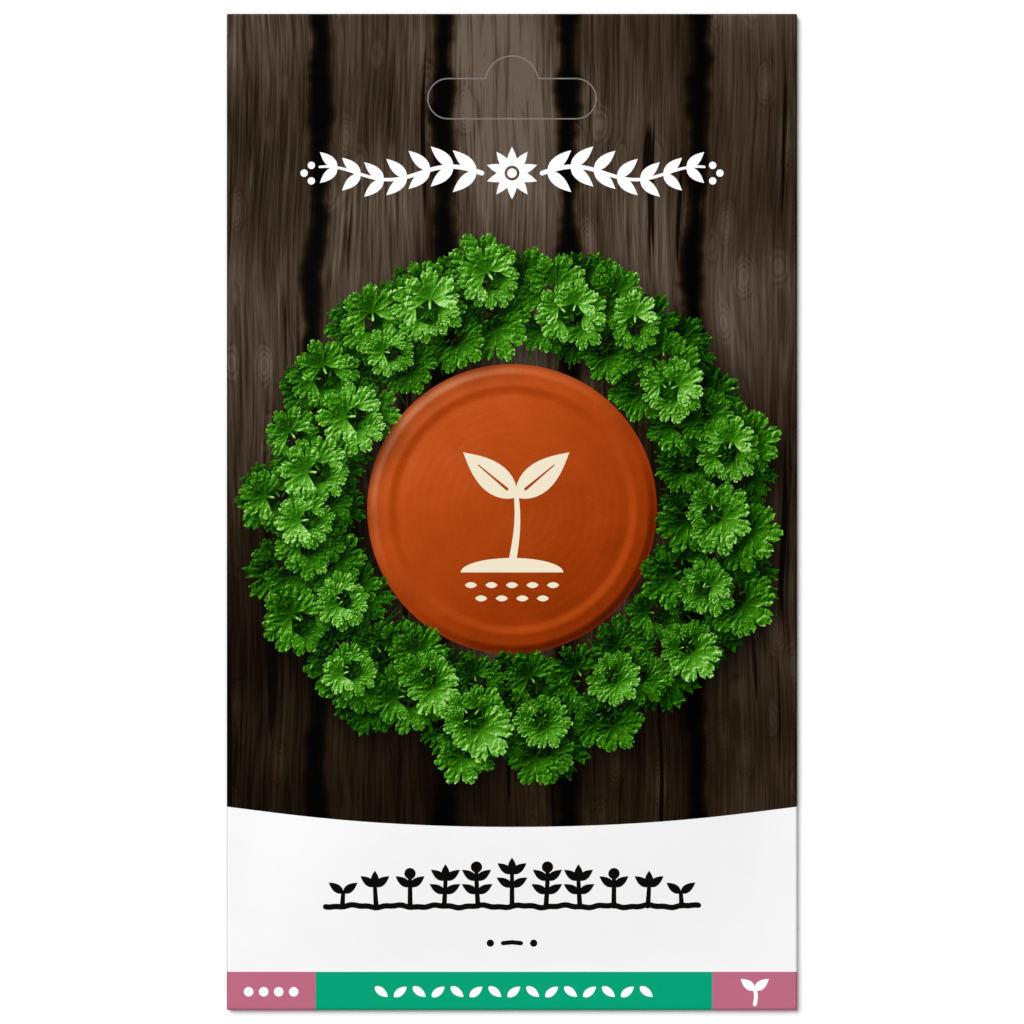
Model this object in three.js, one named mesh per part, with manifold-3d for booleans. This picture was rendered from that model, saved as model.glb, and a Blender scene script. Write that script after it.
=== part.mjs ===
// A flat paper seed packet, lying on its back with its printed front up.
//
// One die-cut paper blank is folded into an envelope. The two side panels meet behind the front and overlap
// in a glued seam, and a flap at each end is folded over the back and glued down. A hang hole is die-cut
// through the header, and its slug is still held by small uncut nicks. Inside lies a heat-sealed sachet of
// seeds, over which the front is gently crowned.
//
// Millimetres. +X is the packet's right, +Y its top, and +Z points up, away from the surface that it lies on.
// The origin is the middle of the packet's outline, on that surface.

import * as THREE from "three";
import { mergeVertices } from "three/addons/utils/BufferGeometryUtils.js";
import Module from "manifold-3d";

// ---------------------------------------------------------------- driving dimensions

const PACKET_WIDTH = 95;
const PACKET_HEIGHT = 166;
const PAPER = 0.2; // thickness of the paper
const GLUE = 0.1; // thickness of a glue line

// The layers, from the surface up: flap, glue, outer back panel, glue, inner back panel, glue, front.
const FLAP_BOTTOM = 0;
const FLAP_TOP = FLAP_BOTTOM + PAPER;
const BACK_BOTTOM = FLAP_TOP + GLUE;
const BACK_TOP = BACK_BOTTOM + PAPER;
const LAP_BOTTOM = BACK_TOP + GLUE; // the inner back panel, where it rides over the outer one
const LAP_TOP = LAP_BOTTOM + PAPER;
const FRONT_BOTTOM = LAP_TOP + GLUE;
const FRONT_TOP = FRONT_BOTTOM + PAPER;

// Folds: half turns whose outside touches the front's top and the panel's or flap's bottom.
const SIDE_FOLD_RADIUS = (FRONT_TOP - BACK_BOTTOM) / 2;
const END_FOLD_RADIUS = (FRONT_TOP - FLAP_BOTTOM) / 2;
const FOLD_STEPS = 8;
const FOLD_ROOT = 1; // how far each folded section reaches into the front's flat rim
const CORNER_RELIEF_X = 0.5; // the end folds stop this far inside the sides
const CORNER_RELIEF_Y = 0.7; // the side folds stop this far inside the ends
const CORNER_TIP = 0.08; // the front's flat corner tips end this far inside the outline
const CORNER_LAP = 0.1; // and reach this far over the folds beside them

// Back seam
const SEAM_LAP = 5; // each back panel passes the centre line by this much
const SEAM_RAMP = 2; // the inner panel climbs onto the outer one over this length
const SEAM_RAMP_GAP = 1; // from the outer panel's free edge to the climb
const SEAM_GLUE_HALF = 4;

// Flaps
const TOP_FLAP = 26;
const BOTTOM_FLAP = 16;
const FLAP_TAPER = 3.5; // each flap's sides lean in by this much towards its free edge
const FLAP_INSET = 0.5; // at the fold

// Hang hole: a long slot with round ends and a round bump, die-cut through every layer of the header
const SLOT_LENGTH = 28;
const SLOT_HEIGHT = 6.7;
const SLOT_BELOW_TOP = 14.2; // from the packet's top edge to the slot's middle
const BUMP_RADIUS = 4.4;
const BUMP_RISE = 2.7; // from the slot's middle to the bump's centre
const CUT_WIDTH = 0.15;
const NICK_WIDTH = 0.7;
const NICK_X = 8.5; // the nicks above and below the slot lie at the middle and this far to each side
const ARC_STEPS = 12;

// Pocket: the front's crown over the sachet
const CROWN_HEIGHT = 2.7;
const CROWN_HALF_WIDTH = 45;
const CROWN_LOW_Y = -80;
const CROWN_HIGH_Y = 59;
const FRONT_COLUMNS = 18;
const FRONT_ROWS = 32;

// Inner sachet
const FILM = 0.1;
const SACHET_WIDTH = 72;
const SACHET_HEIGHT = 96;
const SACHET_Y = -14;
const SACHET_SEAL = 5; // the flat sealed rim
const SACHET_DOME = 1.7;
const SACHET_COLUMNS = 12;
const SACHET_ROWS = 16;
const SEAL_LEVEL = LAP_TOP + FILM; // where the two films meet

// Glue bands, as distances from the end that they belong to
const TOP_GLUE_FROM = 20;
const TOP_GLUE_TO = 24.5;
const BOTTOM_GLUE_FROM = 4;
const BOTTOM_GLUE_TO = 14;
const HEADER_GLUE_FROM = 20;
const HEADER_GLUE_TO = 23.5;
const GLUE_SIDE_MARGIN = 5;

// Seeds
const SEED_LENGTH = 2.8;
const SEED_WIDTH = 1.35;
const SEED_HEIGHT = 1.1;
const SEED_PITCH_X = 2.1;
const SEED_PITCH_Y = 1.02;
const SEED_PILE_HALF_WIDTH = 9;
const SEED_PILE_HALF_HEIGHT = 11;
const SEED_PILE_Y = -20;
const SEED_SIDES = 5;
const SEED_TURN = 0.25; // each seed is turned from X by up to this, in radians
const SEED_ROLL = 0.6; // and rolled about its length by up to this
const SEED_SHIFT = 0.15; // and shifted along its row by up to this
const PILE_SEED = 5;

const HALF_W = PACKET_WIDTH / 2;
const HALF_H = PACKET_HEIGHT / 2;

// ---------------------------------------------------------------- solids

const wasm = await Module();
wasm.setup();

// A closed three.js geometry as a solid that can be joined and cut.
function solid(geometry) {
  const bare = geometry.clone();
  bare.deleteAttribute("normal");
  bare.deleteAttribute("uv");
  const merged = mergeVertices(bare, 1e-4);
  return new wasm.Manifold(
    new wasm.Mesh({
      numProp: 3,
      vertProperties: merged.attributes.position.array,
      triVerts: new Uint32Array(merged.index.array),
    }),
  );
}

function geometryOf(made) {
  const mesh = made.getMesh();
  const geometry = new THREE.BufferGeometry();
  geometry.setAttribute("position", new THREE.BufferAttribute(mesh.vertProperties, 3));
  geometry.setIndex(new THREE.BufferAttribute(mesh.triVerts, 1));
  geometry.computeVertexNormals();
  return geometry;
}

function box(x0, x1, y0, y1, z0, z1) {
  const geometry = new THREE.BoxGeometry(x1 - x0, y1 - y0, z1 - z0);
  return geometry.translate((x0 + x1) / 2, (y0 + y1) / 2, (z0 + z1) / 2);
}

// A shape drawn in X and Z, extruded along Y.
function alongY(shape, y0, y1) {
  const geometry = new THREE.ExtrudeGeometry(shape, { depth: y1 - y0, bevelEnabled: false });
  return geometry.rotateX(Math.PI / 2).translate(0, y1, 0);
}

// A shape drawn in Y and Z, extruded along X.
function alongX(shape, x0, x1) {
  const geometry = new THREE.ExtrudeGeometry(shape, { depth: x1 - x0, bevelEnabled: false });
  const turn = new THREE.Matrix4().makeBasis(
    new THREE.Vector3(0, 1, 0),
    new THREE.Vector3(0, 0, 1),
    new THREE.Vector3(1, 0, 0),
  );
  return geometry.applyMatrix4(turn).translate(x0, 0, 0);
}

// A shape drawn in X and Y, extruded along Z.
function alongZ(shape, z0, z1) {
  return new THREE.ExtrudeGeometry(shape, { depth: z1 - z0, bevelEnabled: false }).translate(0, 0, z0);
}

// Points of an arc, both ends included. Angles in degrees.
function arc(cx, cy, radius, from, to, steps) {
  return Array.from({ length: steps + 1 }, (_, i) => {
    const angle = THREE.MathUtils.degToRad(from + ((to - from) * i) / steps);
    return new THREE.Vector2(cx + radius * Math.cos(angle), cy + radius * Math.sin(angle));
  });
}

const point = (x, y) => new THREE.Vector2(x, y);

// ---------------------------------------------------------------- forms shared by several pieces

// A smooth flat-topped bump: 1 in the middle, 0 from the edge on, level at both.
function pillow(share) {
  const s = Math.min(Math.abs(share), 1);
  return (1 - s ** 4) ** 2;
}

function crown(x, y) {
  const middle = (CROWN_LOW_Y + CROWN_HIGH_Y) / 2;
  const half = (CROWN_HIGH_Y - CROWN_LOW_Y) / 2;
  return CROWN_HEIGHT * pillow(x / CROWN_HALF_WIDTH) * pillow((y - middle) / half);
}

function sachetDome(x, y) {
  const across = x / (SACHET_WIDTH / 2 - SACHET_SEAL);
  const along = (y - SACHET_Y) / (SACHET_HEIGHT / 2 - SACHET_SEAL);
  return SACHET_DOME * pillow(across) * pillow(along);
}

// A sheet between two levels, lifted by a function of its place.
function liftedSheet(width, height, centreY, bottom, thickness, columns, rows, lift) {
  const geometry = new THREE.BoxGeometry(width, height, thickness, columns, rows, 1);
  geometry.translate(0, centreY, bottom + thickness / 2);
  const position = geometry.getAttribute("position");
  for (let i = 0; i < position.count; i += 1) {
    position.setZ(i, position.getZ(i) + lift(position.getX(i), position.getY(i)));
  }
  return geometry;
}

// ---------------------------------------------------------------- the paper sheet

// The section of one side: a strip of the front's rim, the fold, and the back panel with its free edge.
// side is -1 for the left and 1 for the right; steps are the panel's corners from the fold to the free edge.
function sideSection(side, outer, inner) {
  const foldX = side * (HALF_W - SIDE_FOLD_RADIUS);
  const foldZ = BACK_BOTTOM + SIDE_FOLD_RADIUS;
  const half = side < 0 ? [90, 270] : [90, -90];
  const rootX = side * (HALF_W - SIDE_FOLD_RADIUS - FOLD_ROOT);
  return new THREE.Shape([
    point(rootX, FRONT_TOP),
    ...arc(foldX, foldZ, SIDE_FOLD_RADIUS, half[0], half[1], FOLD_STEPS),
    ...outer,
    ...inner,
    ...arc(foldX, foldZ, SIDE_FOLD_RADIUS - PAPER, half[1], half[0], FOLD_STEPS),
    point(rootX, FRONT_BOTTOM),
  ]);
}

function leftSide() {
  const rampEnd = -SEAM_LAP - SEAM_RAMP_GAP;
  const rampStart = rampEnd - SEAM_RAMP;
  const outer = [
    point(rampStart, BACK_BOTTOM),
    point(rampEnd, LAP_BOTTOM),
    point(SEAM_LAP, LAP_BOTTOM),
  ];
  const inner = [point(SEAM_LAP, LAP_TOP), point(rampEnd, LAP_TOP), point(rampStart, BACK_TOP)];
  return sideSection(-1, outer, inner);
}

function rightSide() {
  return sideSection(1, [point(-SEAM_LAP, BACK_BOTTOM)], [point(-SEAM_LAP, BACK_TOP)]);
}

// One end: a strip of the front's rim and the fold, run along X, and the tapered flap under the back.
function endFold(end) {
  const foldY = end * (HALF_H - END_FOLD_RADIUS);
  const foldZ = FLAP_BOTTOM + END_FOLD_RADIUS;
  const half = end > 0 ? [90, -90] : [90, 270];
  const section = new THREE.Shape([
    point(foldY - end * FOLD_ROOT, FRONT_TOP),
    ...arc(foldY, foldZ, END_FOLD_RADIUS, half[0], half[1], FOLD_STEPS),
    point(foldY - end * FOLD_ROOT, FLAP_BOTTOM),
    point(foldY - end * FOLD_ROOT, FLAP_TOP),
    ...arc(foldY, foldZ, END_FOLD_RADIUS - PAPER, half[1], half[0], FOLD_STEPS),
    point(foldY - end * FOLD_ROOT, FRONT_BOTTOM),
  ]);
  return alongX(section, -HALF_W + CORNER_RELIEF_X, HALF_W - CORNER_RELIEF_X);
}

function flap(end, length) {
  const foldY = end * (HALF_H - END_FOLD_RADIUS);
  const freeY = end * (HALF_H - length);
  const foldX = HALF_W - FLAP_INSET;
  const freeX = foldX - FLAP_TAPER;
  const outline = new THREE.Shape([
    point(-foldX, foldY),
    point(foldX, foldY),
    point(freeX, freeY),
    point(-freeX, freeY),
  ]);
  return alongZ(outline, FLAP_BOTTOM, FLAP_TOP);
}

// One of the front's corners, where the paper stays flat between the side fold and the end fold.
function cornerTip(side, end) {
  const x = [HALF_W - CORNER_RELIEF_X - CORNER_LAP, HALF_W - CORNER_TIP];
  const y = [HALF_H - CORNER_RELIEF_Y - CORNER_LAP, HALF_H - CORNER_TIP];
  const [x0, x1] = side > 0 ? x : [-x[1], -x[0]];
  const [y0, y1] = end > 0 ? y : [-y[1], -y[0]];
  return box(x0, x1, y0, y1, FRONT_BOTTOM, FRONT_TOP);
}

// The hang hole's outline, grown outwards by a margin.
function hangHoleOutline(margin) {
  const centreY = HALF_H - SLOT_BELOW_TOP;
  const end = SLOT_HEIGHT / 2 + margin;
  const straight = (SLOT_LENGTH - SLOT_HEIGHT) / 2;
  const bump = BUMP_RADIUS + margin;
  const bumpY = centreY + BUMP_RISE;
  const rise = Math.asin((centreY + end - bumpY) / bump);
  const start = THREE.MathUtils.radToDeg(rise);
  return new THREE.Shape([
    ...arc(straight, centreY, end, -90, 90, ARC_STEPS),
    ...arc(0, bumpY, bump, start, 180 - start, ARC_STEPS),
    ...arc(-straight, centreY, end, 90, 270, ARC_STEPS),
  ]);
}

// The die's cutting line, left out at the nicks that hold the slug.
function cuttingLine() {
  const z0 = FLAP_BOTTOM - 1;
  const z1 = FRONT_TOP + 1;
  const line = solid(alongZ(hangHoleOutline(CUT_WIDTH / 2), z0, z1)).subtract(
    solid(alongZ(hangHoleOutline(-CUT_WIDTH / 2), z0 - 1, z1 + 1)),
  );
  const centreY = HALF_H - SLOT_BELOW_TOP;
  const half = NICK_WIDTH / 2;
  const reach = SLOT_LENGTH;
  const nicks = [
    box(-reach, reach, centreY - half, centreY + half, z0, z1),
    ...[-NICK_X, 0, NICK_X].map((x) =>
      box(x - half, x + half, centreY - reach, centreY + reach, z0, z1),
    ),
  ];
  return nicks.reduce((cut, nick) => cut.subtract(solid(nick)), line);
}

function packetSheet() {
  const front = liftedSheet(
    PACKET_WIDTH - 2 * SIDE_FOLD_RADIUS,
    PACKET_HEIGHT - 2 * END_FOLD_RADIUS,
    0,
    FRONT_BOTTOM,
    PAPER,
    FRONT_COLUMNS,
    FRONT_ROWS,
    crown,
  );
  const sideY = HALF_H - CORNER_RELIEF_Y;
  return [
    alongY(leftSide(), -sideY, sideY),
    alongY(rightSide(), -sideY, sideY),
    endFold(1),
    endFold(-1),
    flap(1, TOP_FLAP),
    flap(-1, BOTTOM_FLAP),
    ...[-1, 1].flatMap((side) => [cornerTip(side, 1), cornerTip(side, -1)]),
  ]
    .reduce((whole, piece) => whole.add(solid(piece)), solid(front))
    .subtract(cuttingLine());
}

// ---------------------------------------------------------------- glue

function flapGlue(end, from, to) {
  const y = [end * (HALF_H - from), end * (HALF_H - to)].sort((a, b) => a - b);
  const x = HALF_W - GLUE_SIDE_MARGIN;
  return box(-x, x, y[0], y[1], FLAP_TOP, BACK_BOTTOM);
}

function seamGlue() {
  const low = -HALF_H + BOTTOM_GLUE_FROM;
  const high = HALF_H - HEADER_GLUE_FROM;
  return box(-SEAM_GLUE_HALF, SEAM_GLUE_HALF, low, high, BACK_TOP, LAP_BOTTOM);
}

// Between the front and the back panels, stepped over the seam's double layer.
function headerGlue() {
  const x = HALF_W - GLUE_SIDE_MARGIN;
  const climb = -SEAM_LAP - SEAM_RAMP_GAP - SEAM_RAMP;
  const section = new THREE.Shape([
    point(-x, BACK_TOP),
    point(climb, BACK_TOP),
    point(-SEAM_LAP - SEAM_RAMP_GAP, LAP_TOP),
    point(SEAM_LAP, LAP_TOP),
    point(SEAM_LAP, BACK_TOP),
    point(x, BACK_TOP),
    point(x, FRONT_BOTTOM),
    point(-x, FRONT_BOTTOM),
  ]);
  return alongY(section, HALF_H - HEADER_GLUE_TO, HALF_H - HEADER_GLUE_FROM);
}

// ---------------------------------------------------------------- sachet and seeds

// The back film lies flat on the seam's double layer. The seeds lie on it.
function sachetBack() {
  const x = SACHET_WIDTH / 2;
  const y = SACHET_HEIGHT / 2;
  return box(-x, x, SACHET_Y - y, SACHET_Y + y, LAP_TOP, SEAL_LEVEL);
}

// The front film is domed over the seeds and lies flat on the back film round its rim.
function sachetFront() {
  return liftedSheet(
    SACHET_WIDTH,
    SACHET_HEIGHT,
    SACHET_Y,
    SEAL_LEVEL,
    FILM,
    SACHET_COLUMNS,
    SACHET_ROWS,
    sachetDome,
  );
}

// A small seeded generator of numbers from 0 to 1, so that the pile is the same each time.
function seededDraw(seed) {
  const range = 2 ** 32;
  let state = seed;
  return () => {
    state = (state * 1664525 + 1013904223) % range;
    return state / range;
  };
}

// One seed: a plump spindle, flattened, lying along X.
function seedShape() {
  const profile = [point(0, -0.5), point(0.46, -0.14), point(0.42, 0.2), point(0, 0.5)];
  const geometry = new THREE.LatheGeometry(profile, SEED_SIDES);
  return geometry.rotateZ(-Math.PI / 2).scale(SEED_LENGTH, SEED_WIDTH, SEED_HEIGHT);
}

// A single layer of seeds, set closely in rows with seeded jitter. Each touches its neighbours.
function seedPile(bottom) {
  const draw = seededDraw(PILE_SEED);
  const one = seedShape();
  const seeds = [];
  const rows = Math.floor(SEED_PILE_HALF_HEIGHT / SEED_PITCH_Y);
  const columns = Math.floor(SEED_PILE_HALF_WIDTH / SEED_PITCH_X);
  for (let row = -rows; row <= rows; row += 1) {
    for (let column = -columns; column <= columns; column += 1) {
      const x = (column + (row % 2 ? 0.5 : 0)) * SEED_PITCH_X;
      const y = row * SEED_PITCH_Y;
      const turn = (2 * draw() - 1) * SEED_TURN;
      const shiftX = (2 * draw() - 1) * SEED_SHIFT;
      const roll = draw() * SEED_ROLL;
      if (Math.hypot(x / SEED_PILE_HALF_WIDTH, y / SEED_PILE_HALF_HEIGHT) <= 1) {
        const placed = one.clone().rotateX(roll).rotateZ(turn);
        placed.computeBoundingBox();
        const lift = bottom - placed.boundingBox.min.z;
        seeds.push(placed.translate(x + shiftX, SEED_PILE_Y + y, lift));
      }
    }
  }
  const joined = seeds.map(solid).reduce((pile, seed) => pile.add(seed));
  return joined.decompose().reduce((a, b) => (a.volume() > b.volume() ? a : b));
}

// ---------------------------------------------------------------- the packet

const paper = { color: 0xf3f2ee, roughness: 0.55, metalness: 0 };
const glue = { color: 0xd8cfae, roughness: 0.4, metalness: 0 };
const film = { color: 0xe9e6da, roughness: 0.35, metalness: 0 };
const seedCoat = { color: 0x7d6a4c, roughness: 0.8, metalness: 0 };

const packet = new THREE.Group();

function addPiece(name, geometry, look) {
  const mesh = new THREE.Mesh(geometry, new THREE.MeshStandardMaterial(look));
  mesh.name = name;
  packet.add(mesh);
}

addPiece("packet_sheet", geometryOf(packetSheet()), paper);
addPiece("seam_glue", seamGlue(), glue);
addPiece("top_flap_glue", flapGlue(1, TOP_GLUE_FROM, TOP_GLUE_TO), glue);
addPiece("bottom_flap_glue", flapGlue(-1, BOTTOM_GLUE_FROM, BOTTOM_GLUE_TO), glue);
addPiece("header_glue", headerGlue(), glue);
addPiece("sachet_back", sachetBack(), film);
addPiece("sachet_front", sachetFront(), film);
addPiece("seeds", geometryOf(seedPile(SEAL_LEVEL)), seedCoat);

export default packet;
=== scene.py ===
# %% [markdown]
# # A folded paper seed packet
#
# The packet is one printed paper blank, folded into a flat envelope round a sealed sachet of seeds. It lies
# on its back, so the camera looks straight down on its printed front. The CAD model gives the sizes and the
# layers. Here the blank is printed flat, cut, and then folded, in the order in which a printer makes it.

# %% The frame
import random
from itertools import groupby
from math import asin, atan2, copysign, cos, degrees, exp, hypot, pi, radians, sin, sqrt

import bmesh
import bpy
import numpy as np
from mathutils import Matrix, Vector, noise
from mathutils.geometry import delaunay_2d_cdt


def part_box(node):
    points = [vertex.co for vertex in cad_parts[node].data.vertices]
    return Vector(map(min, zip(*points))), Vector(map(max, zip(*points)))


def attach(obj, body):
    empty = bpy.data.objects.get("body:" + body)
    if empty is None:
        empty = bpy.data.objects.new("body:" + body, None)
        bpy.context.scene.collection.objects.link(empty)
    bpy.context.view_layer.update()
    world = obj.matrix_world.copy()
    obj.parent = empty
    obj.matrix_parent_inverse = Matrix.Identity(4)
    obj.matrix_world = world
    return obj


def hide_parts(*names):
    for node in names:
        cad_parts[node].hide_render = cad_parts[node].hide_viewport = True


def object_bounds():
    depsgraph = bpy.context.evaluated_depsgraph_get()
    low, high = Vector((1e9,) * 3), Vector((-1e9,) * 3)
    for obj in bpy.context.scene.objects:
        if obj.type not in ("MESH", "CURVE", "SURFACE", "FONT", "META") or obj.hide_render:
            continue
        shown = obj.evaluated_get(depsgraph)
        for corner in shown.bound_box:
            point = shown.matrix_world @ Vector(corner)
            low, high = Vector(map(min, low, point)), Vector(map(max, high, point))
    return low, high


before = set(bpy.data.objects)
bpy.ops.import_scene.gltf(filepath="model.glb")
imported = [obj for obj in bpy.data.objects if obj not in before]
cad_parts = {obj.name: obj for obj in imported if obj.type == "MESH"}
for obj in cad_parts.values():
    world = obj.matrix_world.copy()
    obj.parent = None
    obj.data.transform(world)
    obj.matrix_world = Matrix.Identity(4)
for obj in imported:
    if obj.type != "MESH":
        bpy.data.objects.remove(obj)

cad_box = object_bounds()
MM = 0.001
WIDTH = (cad_box[1].x - cad_box[0].x) / MM
HEIGHT = (cad_box[1].y - cad_box[0].y) / MM
print("packet", round(WIDTH, 2), "x", round(HEIGHT, 2), "mm")

# %% [markdown]
# ## Paper, layers and folds
#
# Every level is worked out from the paper's thickness and the glue's, from the surface up: flap, glue, outer
# back panel, glue, inner back panel, glue, front. Each fold is a half turn, tight enough to look like an edge
# and round enough to catch the light. A knife-sharp fold would be simpler, but real paper never makes one.

# %% Measures, in millimetres
PAPER = 0.2
GLUE = 0.1
BACK_LEVEL = PAPER + GLUE
LAP_RISE = PAPER + GLUE
FRONT_LEVEL = 3 * PAPER + 3 * GLUE + PAPER
SIDE_RADIUS = (FRONT_LEVEL - BACK_LEVEL) / 2
END_RADIUS = FRONT_LEVEL / 2
SIDE_ARC = pi * SIDE_RADIUS
END_ARC = pi * END_RADIUS
FOLD_X = WIDTH / 2 - SIDE_RADIUS
FOLD_Y = HEIGHT / 2 - END_RADIUS
RELIEF_X = 0.5
RELIEF_Y = 0.7
CORNER_X = WIDTH / 2 - RELIEF_X
CORNER_Y = HEIGHT / 2 - RELIEF_Y

LAP = 5.0
RAMP_END = -6.0
RAMP_LENGTH = 2.0
TOP_FLAP = 26.0
BOTTOM_FLAP = 16.0
FLAP_TAPER = 3.5
FLAP_INSET = 0.5

CROWN = 2.7
CROWN_Y = -10.5
CROWN_HALF_WIDTH = 45.0
CROWN_HALF_LENGTH = 69.5
RIPPLE = 0.035
RIPPLE_WIDTH = 13.0
RIPPLE_LENGTH = 17.0


def pillow(share):
    """1 in the middle and 0 from the edge on, level at both."""
    return (1 - min(abs(share), 1) ** 4) ** 2


def crown(x, y):
    """How far the sachet lifts the front, with the faint unevenness of real paper."""
    lift = pillow(x / CROWN_HALF_WIDTH) * pillow((y - CROWN_Y) / CROWN_HALF_LENGTH)
    uneven = noise.noise(Vector((x / RIPPLE_WIDTH, y / RIPPLE_LENGTH, 0.3))) - 0.6
    return lift * (CROWN + RIPPLE * uneven)


print("fold radii", round(SIDE_RADIUS, 2), round(END_RADIUS, 2), "mm, front at", round(FRONT_LEVEL, 2), "mm")

# %% [markdown]
# ## From flat blank to folded packet
#
# The blank is drawn flat in u and v. Each panel knows how its flat points move when it is folded, so print
# can cross a crease and still meet itself. Bending the mesh with modifiers could do it too, but a formula for
# each panel keeps every layer exactly where the CAD model has it.

# %% Folding a point
FRONT, LEFT, RIGHT, TOP, BOTTOM = range(5)


def lap_rise(x):
    """The left back panel climbs onto the right one before they overlap."""
    share = (x - (RAMP_END - RAMP_LENGTH)) / RAMP_LENGTH
    return LAP_RISE * min(max(share, 0), 1)


def fold_over(distance, radius, arc, depth):
    """Round a fold and back underneath: how far past the crease, and the height above the fold's bottom."""
    if distance <= arc:
        angle = distance / radius
        reach = radius - depth
        return reach * sin(angle), radius + reach * cos(angle)
    return arc - distance, depth


def bend_down(at, fold, radius, depth):
    """A tip past a fold line: where the bend takes it, and how far down."""
    angle = max(abs(at) - fold, 0) / radius
    reach = radius - depth
    return copysign(min(abs(at), fold) + reach * sin(angle), at), reach * (1 - cos(angle))


def place(panel, u, v, depth):
    """Where a flat point of a panel lies on the folded packet, this deep in the paper."""
    if panel == FRONT:
        x, drop_x = bend_down(u, FOLD_X, SIDE_RADIUS, depth)
        y, drop_y = bend_down(v, FOLD_Y, END_RADIUS, depth)
        return Vector((x, y, FRONT_LEVEL + crown(u, v) - depth - drop_x - drop_y))
    if panel in (LEFT, RIGHT):
        side = 1 if panel == RIGHT else -1
        past, height = fold_over(side * u - FOLD_X, SIDE_RADIUS, SIDE_ARC, depth)
        x = side * (FOLD_X + past)
        laps = panel == LEFT and side * u - FOLD_X > SIDE_ARC
        return Vector((x, v, BACK_LEVEL + height + (lap_rise(x) if laps else 0)))
    end = 1 if panel == TOP else -1
    past, height = fold_over(end * v - FOLD_Y, END_RADIUS, END_ARC, depth)
    return Vector((u, end * (FOLD_Y + past), height))


def outward(panel, u, v):
    """The direction that the printed side faces there."""
    step = 0.02
    across = place(panel, u + step, v, 0) - place(panel, u - step, v, 0)
    along = place(panel, u, v + step, 0) - place(panel, u, v - step, 0)
    return across.cross(along).normalized()


print("the front rises to", round(place(FRONT, 0, CROWN_Y, 0).z, 2), "mm")

# %% [markdown]
# Print for the back or the flap is drawn where it lies on the folded packet, and carried over to the blank.
# The alternative is to draw it turned over on the blank, where it is hard to picture.

# %% The blank's panels
SLIT = 0.01
TIP_U = FOLD_X + SIDE_ARC / 2
TIP_V = FOLD_Y + END_ARC / 2
TIP_LOW_U = CORNER_X + SLIT
TIP_LOW_V = CORNER_Y + SLIT


def on_front(x, y):
    return (x, y)


def on_right_back(x, y):
    return (2 * FOLD_X + SIDE_ARC - x, y)


def on_left_back(x, y):
    return (-2 * FOLD_X - SIDE_ARC - x, y)


def on_top_flap(x, y):
    return (x, 2 * FOLD_Y + END_ARC - y)


def box_outline(x0, x1, y0, y1):
    return [(x0, y0), (x1, y0), (x1, y1), (x0, y1)]


def spaced(start, end, steps):
    """Evenly spaced values, both ends included."""
    return [start + (end - start) * i / steps for i in range(steps + 1)]


def polar(cx, cy, radius, angle):
    """The point this far from a centre, along an angle in radians."""
    return cx + radius * cos(angle), cy + radius * sin(angle)


def arc_points(cx, cy, radius, start, end, steps):
    """Points along an arc, both ends included, with angles in degrees."""
    return [polar(cx, cy, radius, radians(angle)) for angle in spaced(start, end, steps)]


def blank_panels():
    """Each panel's outline on the flat blank.

    Thin slits part the front's four corner tips from the folds beside them. A tip is rounded, and it bends
    down over both folds at once, as far as halfway round them, and so it closes the corner.
    """
    side_u = FOLD_X + SIDE_ARC + FOLD_X + LAP
    panels = [
        (FRONT, box_outline(-FOLD_X, FOLD_X, -FOLD_Y, FOLD_Y)),
        (RIGHT, box_outline(FOLD_X, side_u, -CORNER_Y, CORNER_Y)),
        (LEFT, box_outline(-FOLD_X, -side_u, -CORNER_Y, CORNER_Y)),
    ]
    flap_x = WIDTH / 2 - FLAP_INSET
    free_x = flap_x - FLAP_TAPER
    for panel, end, flap in ((TOP, 1, TOP_FLAP), (BOTTOM, -1, BOTTOM_FLAP)):
        crease, turn = end * FOLD_Y, end * (FOLD_Y + END_ARC)
        free = end * (FOLD_Y + END_ARC + FOLD_Y - (HEIGHT / 2 - flap))
        outline = [(-CORNER_X, crease), (CORNER_X, crease), (flap_x, turn), (free_x, free)]
        panels.append((panel, outline + [(-free_x, free), (-flap_x, turn)]))
    quarter = arc_points(0, 0, 1, 0, 90, 6)
    tip = [(FOLD_X, TIP_LOW_V), (TIP_U, TIP_LOW_V)]
    tip += [(FOLD_X + (TIP_U - FOLD_X) * x, FOLD_Y + (TIP_V - FOLD_Y) * y) for x, y in quarter]
    tip += [(TIP_LOW_U, TIP_V), (TIP_LOW_U, FOLD_Y), (FOLD_X, FOLD_Y)]
    for side in (-1, 1):
        for end in (-1, 1):
            panels.append((FRONT, [(side * u, end * v) for u, v in tip]))
    return panels


PANELS = blank_panels()
print(len(PANELS), "panels on the blank")

# %% [markdown]
# ## Printing
#
# A print is a pile of flat shapes, each laid over the last. `lay` records one shape with its ink. A shape
# with a picture in it, such as a leaf, also carries where its own centre, direction and size are, so that its
# material can draw folds and curls in the leaf's own directions. An image texture would be the usual way,
# but shapes stay sharp at any size and need no file.

# %% The ink list
BOARDS, LEAF, CLAY, FLAT, BARE = range(5)
PRINT = []
SUN = Vector((-0.62, 0.78))
STUDIO = 1.13
SHEEN = 0.0018


def shown(*screen):
    """The surface colour that shows as this screen colour, 0 to 255, under the studio's light and sheen."""
    linear = [((c / 255 + 0.055) / 1.055) ** 2.4 if c > 10 else c / 255 / 12.92 for c in screen]
    return tuple(max(c - SHEEN, 0) / STUDIO for c in linear)


LABEL_WHITE = shown(247, 247, 247)
WHITE = shown(255, 255, 255)
GREEN = shown(10, 163, 120)
PINK = shown(191, 107, 132)
BLACK = shown(17, 16, 15)
CREAM = shown(240, 228, 202)
PAPER_CORE = shown(238, 237, 232)
CUT_LINE = shown(138, 133, 126)


def counter_clockwise(points):
    area = sum(a[0] * b[1] - b[0] * a[1] for a, b in zip(points, points[1:] + points[:1]))
    return points if area > 0 else points[::-1]


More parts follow.
